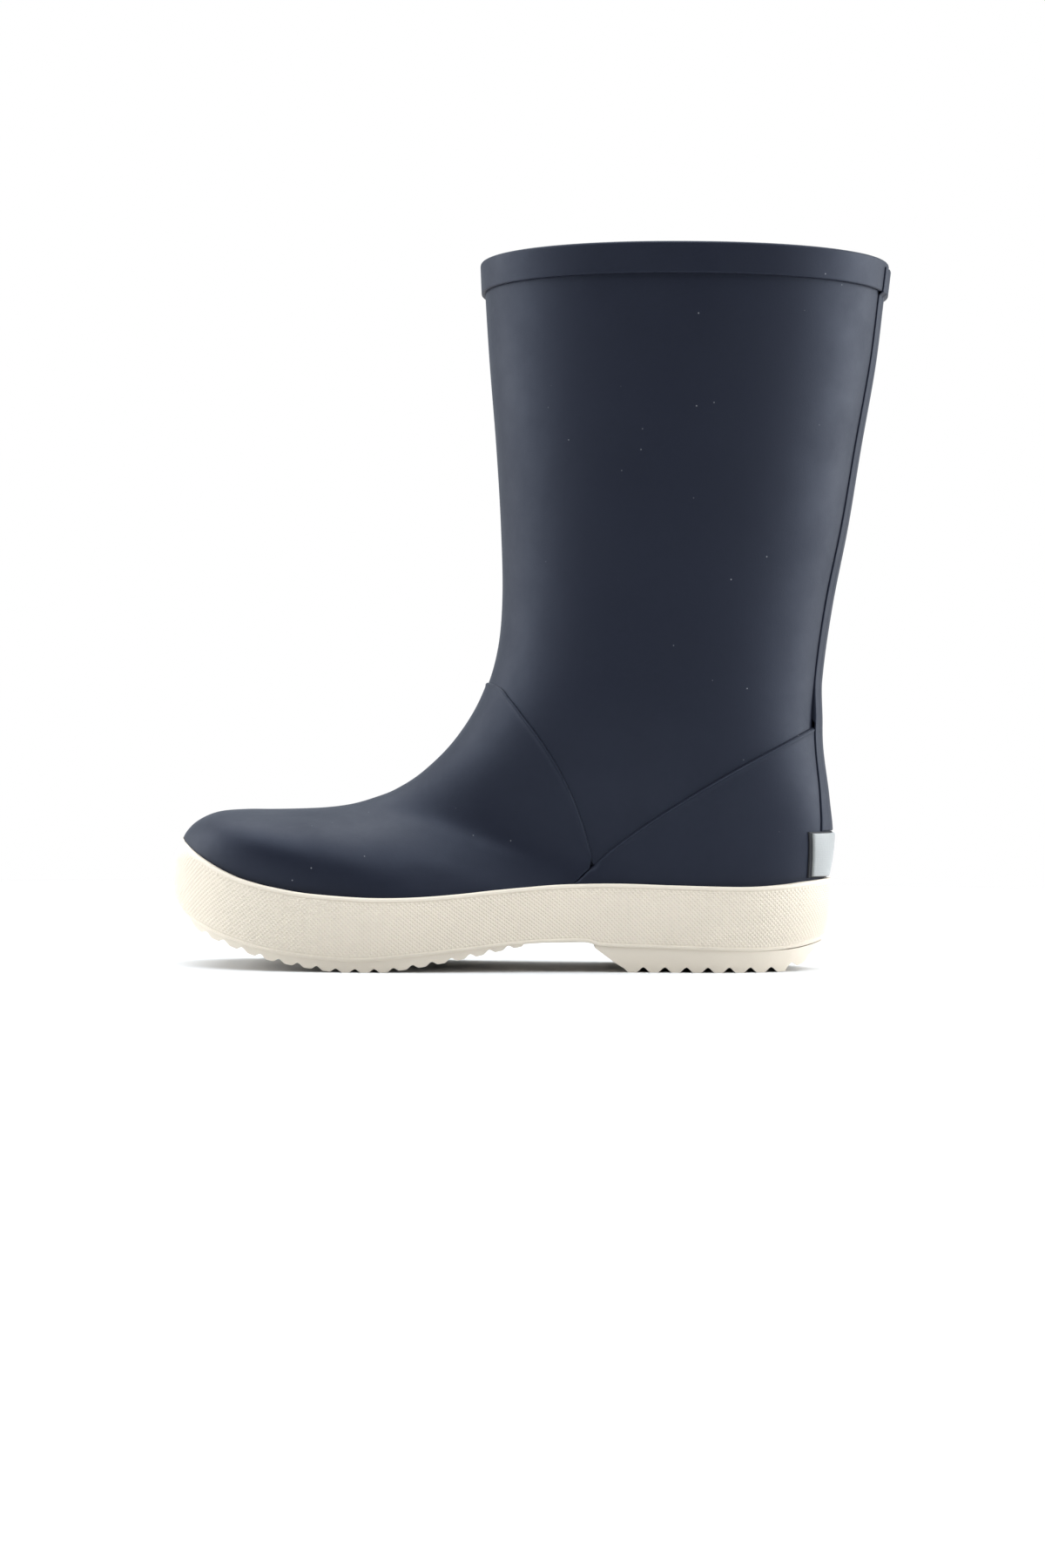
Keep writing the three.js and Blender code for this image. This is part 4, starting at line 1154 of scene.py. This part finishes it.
@operator("Outsole")
def outsole(context):
    """Makes the outsole with its wave ribs under the forefoot."""
    pitch, depth = sizes().tooth_pitch / MM, sizes().tooth_depth / MM
    start, end = -117.0, 9.0
    teeth, count = tooth_places(start, end, pitch)
    toe_end, heel_end = -125.3, 121.0
    toe = toe_end + (start - toe_end) * (1 - np.cos(np.linspace(0, math.pi / 2, 12)))[:-1]
    waist = np.linspace(end, HEEL_BREAST, 9)[1:]
    heel = HEEL_BREAST + (heel_end - HEEL_BREAST) * np.sin(np.linspace(0, math.pi / 2, 22))[1:]
    x = np.concatenate([toe, teeth, waist, heel])
    foxing = level(BOTTOM_LINE, x)
    reach = level(TREAD_LINE, x)
    ribs = reach + depth * tooth((x - start) / (end - start) * count)
    low = np.where(x < start, foxing + 0.1, np.where(x <= end, ribs, 0))
    last_rib = ribs[len(toe) + len(teeth) - 1]
    arch = np.interp(x, [end, 17, 30, 40], [last_rib, 11, 11.2, 11.2])
    low = np.where((x > end) & (x <= HEEL_BREAST), arch, low)
    low = np.where(x > HEEL_BREAST, foxing + 0.3, low)
    high = np.maximum(foxing + 1.2, low + 1.0)
    keep_piece(sole_slab(x, low, high, SOLE_SIDE_INSET), "outsole_slab", "cream_rubber", "outsole", crease=24)


@operator("Heel block")
def heel(context):
    """Makes the heel block with its ribs."""
    pitch, depth = sizes().heel_tooth_pitch / MM, sizes().heel_tooth_depth / MM
    start, end = 44.0, 116.0
    teeth, count = tooth_places(start, end, pitch)
    breast = np.linspace(HEEL_BREAST, start, 7)[:-1]
    back_end = 121.2
    back = end + (back_end - end) * np.sin(np.linspace(0, math.pi / 2, 8))[1:]
    x = np.concatenate([breast, teeth, back])
    reach = level(HEEL_LINE, x)
    slant = np.interp(x, [HEEL_BREAST, 40, start], [9, 4.6, depth])
    low = np.where(x < start, slant, reach + depth * tooth((x - start) / (end - start) * count))
    low = np.where(x > end, reach + depth, low)
    high = level(BOTTOM_LINE, x) - 0.03
    low = np.minimum(low, high - 0.4)
    keep_piece(sole_slab(x, low, high, SOLE_SIDE_INSET), "heel_tread", "cream_rubber", "heel_block", crease=24)


@operator("Inner pieces")
def inside(context):
    """Gives the pieces that stay as they are drawn their finishes."""
    slots = {entry["node"]: entry["material_slot"] for entry in frame["record"]["subparts"]}
    for name, piece in frame["nodes"].items():
        if piece.hide_render:
            continue
        piece.data.materials.clear()
        piece.data.materials.append(finish_of(slots[name]))


# ---------------------------------------------------------------- floor, light and camera

ROOM_LIGHT = 0.08
BACKDROP_LIGHT = 0.9
FLOOR_RADIUS = 9.0
GLOW_REACH = (0.3, 0.95)
CAMERA_AT = (-0.003, -1.092, 0.0694)
LENS = 65.8
CAMERA_ROLL = 0.45


def softbox(name, place_at, aim, size, power):
    light = bpy.data.lights.new(name, "AREA")
    light.shape = "RECTANGLE"
    light.size, light.size_y = size
    light.energy = power
    light.color = (0.93, 0.965, 1.0)
    lamp = bpy.data.objects.new(name, light)
    lamp.location = place_at
    lamp.rotation_euler = (Vector(aim) - Vector(place_at)).to_track_quat("-Z", "Y").to_euler()
    bpy.context.scene.collection.objects.link(lamp)


@operator("Camera")
def camera(context):
    """Makes the camera, level with the ankle and square to the boot's outer side."""
    data = bpy.data.cameras.new("camera")
    data.sensor_width = 36.0
    data.lens = LENS
    data.clip_start, data.clip_end = 0.01, 50.0
    camera = bpy.data.objects.new("camera", data)
    turn = Matrix.Rotation(math.radians(90), 4, "X") @ Matrix.Rotation(math.radians(CAMERA_ROLL), 4, "Z")
    camera.matrix_world = Matrix.Translation(CAMERA_AT) @ turn
    context.scene.collection.objects.link(camera)
    context.scene.camera = camera


@operator("Floor and lights")
def stage(context):
    """Makes the pale floor and the soft lights."""
    bm = bmesh.new()
    bmesh.ops.create_circle(bm, cap_ends=True, segments=96, radius=FLOOR_RADIUS)
    mesh = bpy.data.meshes.new("floor")
    bm.to_mesh(mesh)
    bm.free()
    floor = bpy.data.objects.new("floor", mesh)
    context.scene.collection.objects.link(floor)
    finish, tree, shader, at = new_finish("floor_paint", Roughness=0.9, Specular_IOR_Level=0.1)
    tone = mix_colour(tree, noise(tree, at, 3.0), (0.64, 0.64, 0.64, 1), (0.66, 0.66, 0.66, 1))
    tree.links.new(tone, shader.inputs["Base Color"])
    far = node(tree, "ShaderNodeVectorMath", {0: at}, operation="LENGTH").outputs["Value"]
    glow = node(tree, "ShaderNodeEmission", {"Color": (1, 1, 1, 1), "Strength": 1.0})
    glowing = ranged(tree, far, *GLOW_REACH, 0, 1)
    blend = node(tree, "ShaderNodeMixShader", {0: glowing, 1: shader.outputs[0], 2: glow.outputs[0]})
    output = next(n for n in tree.nodes if n.type == "OUTPUT_MATERIAL")
    tree.links.new(blend.outputs[0], output.inputs[0])
    mesh.materials.append(finish)
    world = bpy.data.worlds.new("studio")
    world.use_nodes = True
    tree = world.node_tree
    tree.nodes.clear()
    seen = node(tree, "ShaderNodeBackground", {"Color": (1, 1, 1, 1), "Strength": 1.0})
    way = node(tree, "ShaderNodeSeparateXYZ", {0: node(tree, "ShaderNodeTexCoord").outputs["Generated"]})
    behind_boot = ranged(tree, way.outputs["Y"], 0.4, 0.8, ROOM_LIGHT, BACKDROP_LIGHT)
    room = node(tree, "ShaderNodeBackground", {"Color": (0.82, 0.91, 1, 1), "Strength": behind_boot})
    path = node(tree, "ShaderNodeLightPath")
    seen_at = path.outputs["Is Camera Ray"]
    blend = node(tree, "ShaderNodeMixShader", {0: seen_at, 1: room.outputs[0], 2: seen.outputs[0]})
    node(tree, "ShaderNodeOutputWorld", {0: blend.outputs[0]})
    context.scene.world = world
    softbox("overhead_light", (0, 0, 1.8), (0, 0, 0), (3, 3), 105)
    softbox("key_light", (-1.45, 0.08, 0.42), (0, 0, 0.12), (1.6, 1.5), 31)
    softbox("side_light", (1.4, 0.02, 0.26), (0, 0, 0.1), (1.4, 1.4), 40)
    context.scene.view_settings.view_transform = "Standard"
    context.scene.view_settings.exposure = 0.0


class DECKBOOT_PT_panel(bpy.types.Panel):
    """Lists the boot's sizes, finishes and pieces."""

    bl_label = "Deck boot"
    bl_idname = "DECKBOOT_PT_panel"
    bl_space_type = "VIEW_3D"
    bl_region_type = "UI"
    bl_category = "Deck boot"

    def draw(self, context):
        for group in (context.scene.deck_boot_sizes, context.scene.deck_boot_finishes):
            column = self.layout.column(align=True)
            for name in group.bl_rna.properties.keys():
                if name not in ("rna_type", "name"):
                    column.prop(group, name)
        column = self.layout.column(align=True)
        for made in OPERATORS:
            column.operator(made.bl_idname)


CLASSES = (DeckBootFinishes, DeckBootSizes, *OPERATORS, DECKBOOT_PT_panel)


def register():
    for cls in CLASSES:
        bpy.utils.register_class(cls)
    bpy.types.Scene.deck_boot_finishes = bpy.props.PointerProperty(type=DeckBootFinishes)
    bpy.types.Scene.deck_boot_sizes = bpy.props.PointerProperty(type=DeckBootSizes)


def unregister():
    del bpy.types.Scene.deck_boot_sizes
    del bpy.types.Scene.deck_boot_finishes
    for cls in reversed(CLASSES):
        bpy.utils.unregister_class(cls)


def main():
    register()
    for made in OPERATORS:
        group, name = made.bl_idname.split(".")
        getattr(getattr(bpy.ops, group), name)()


if __name__ == "__main__":
    main()
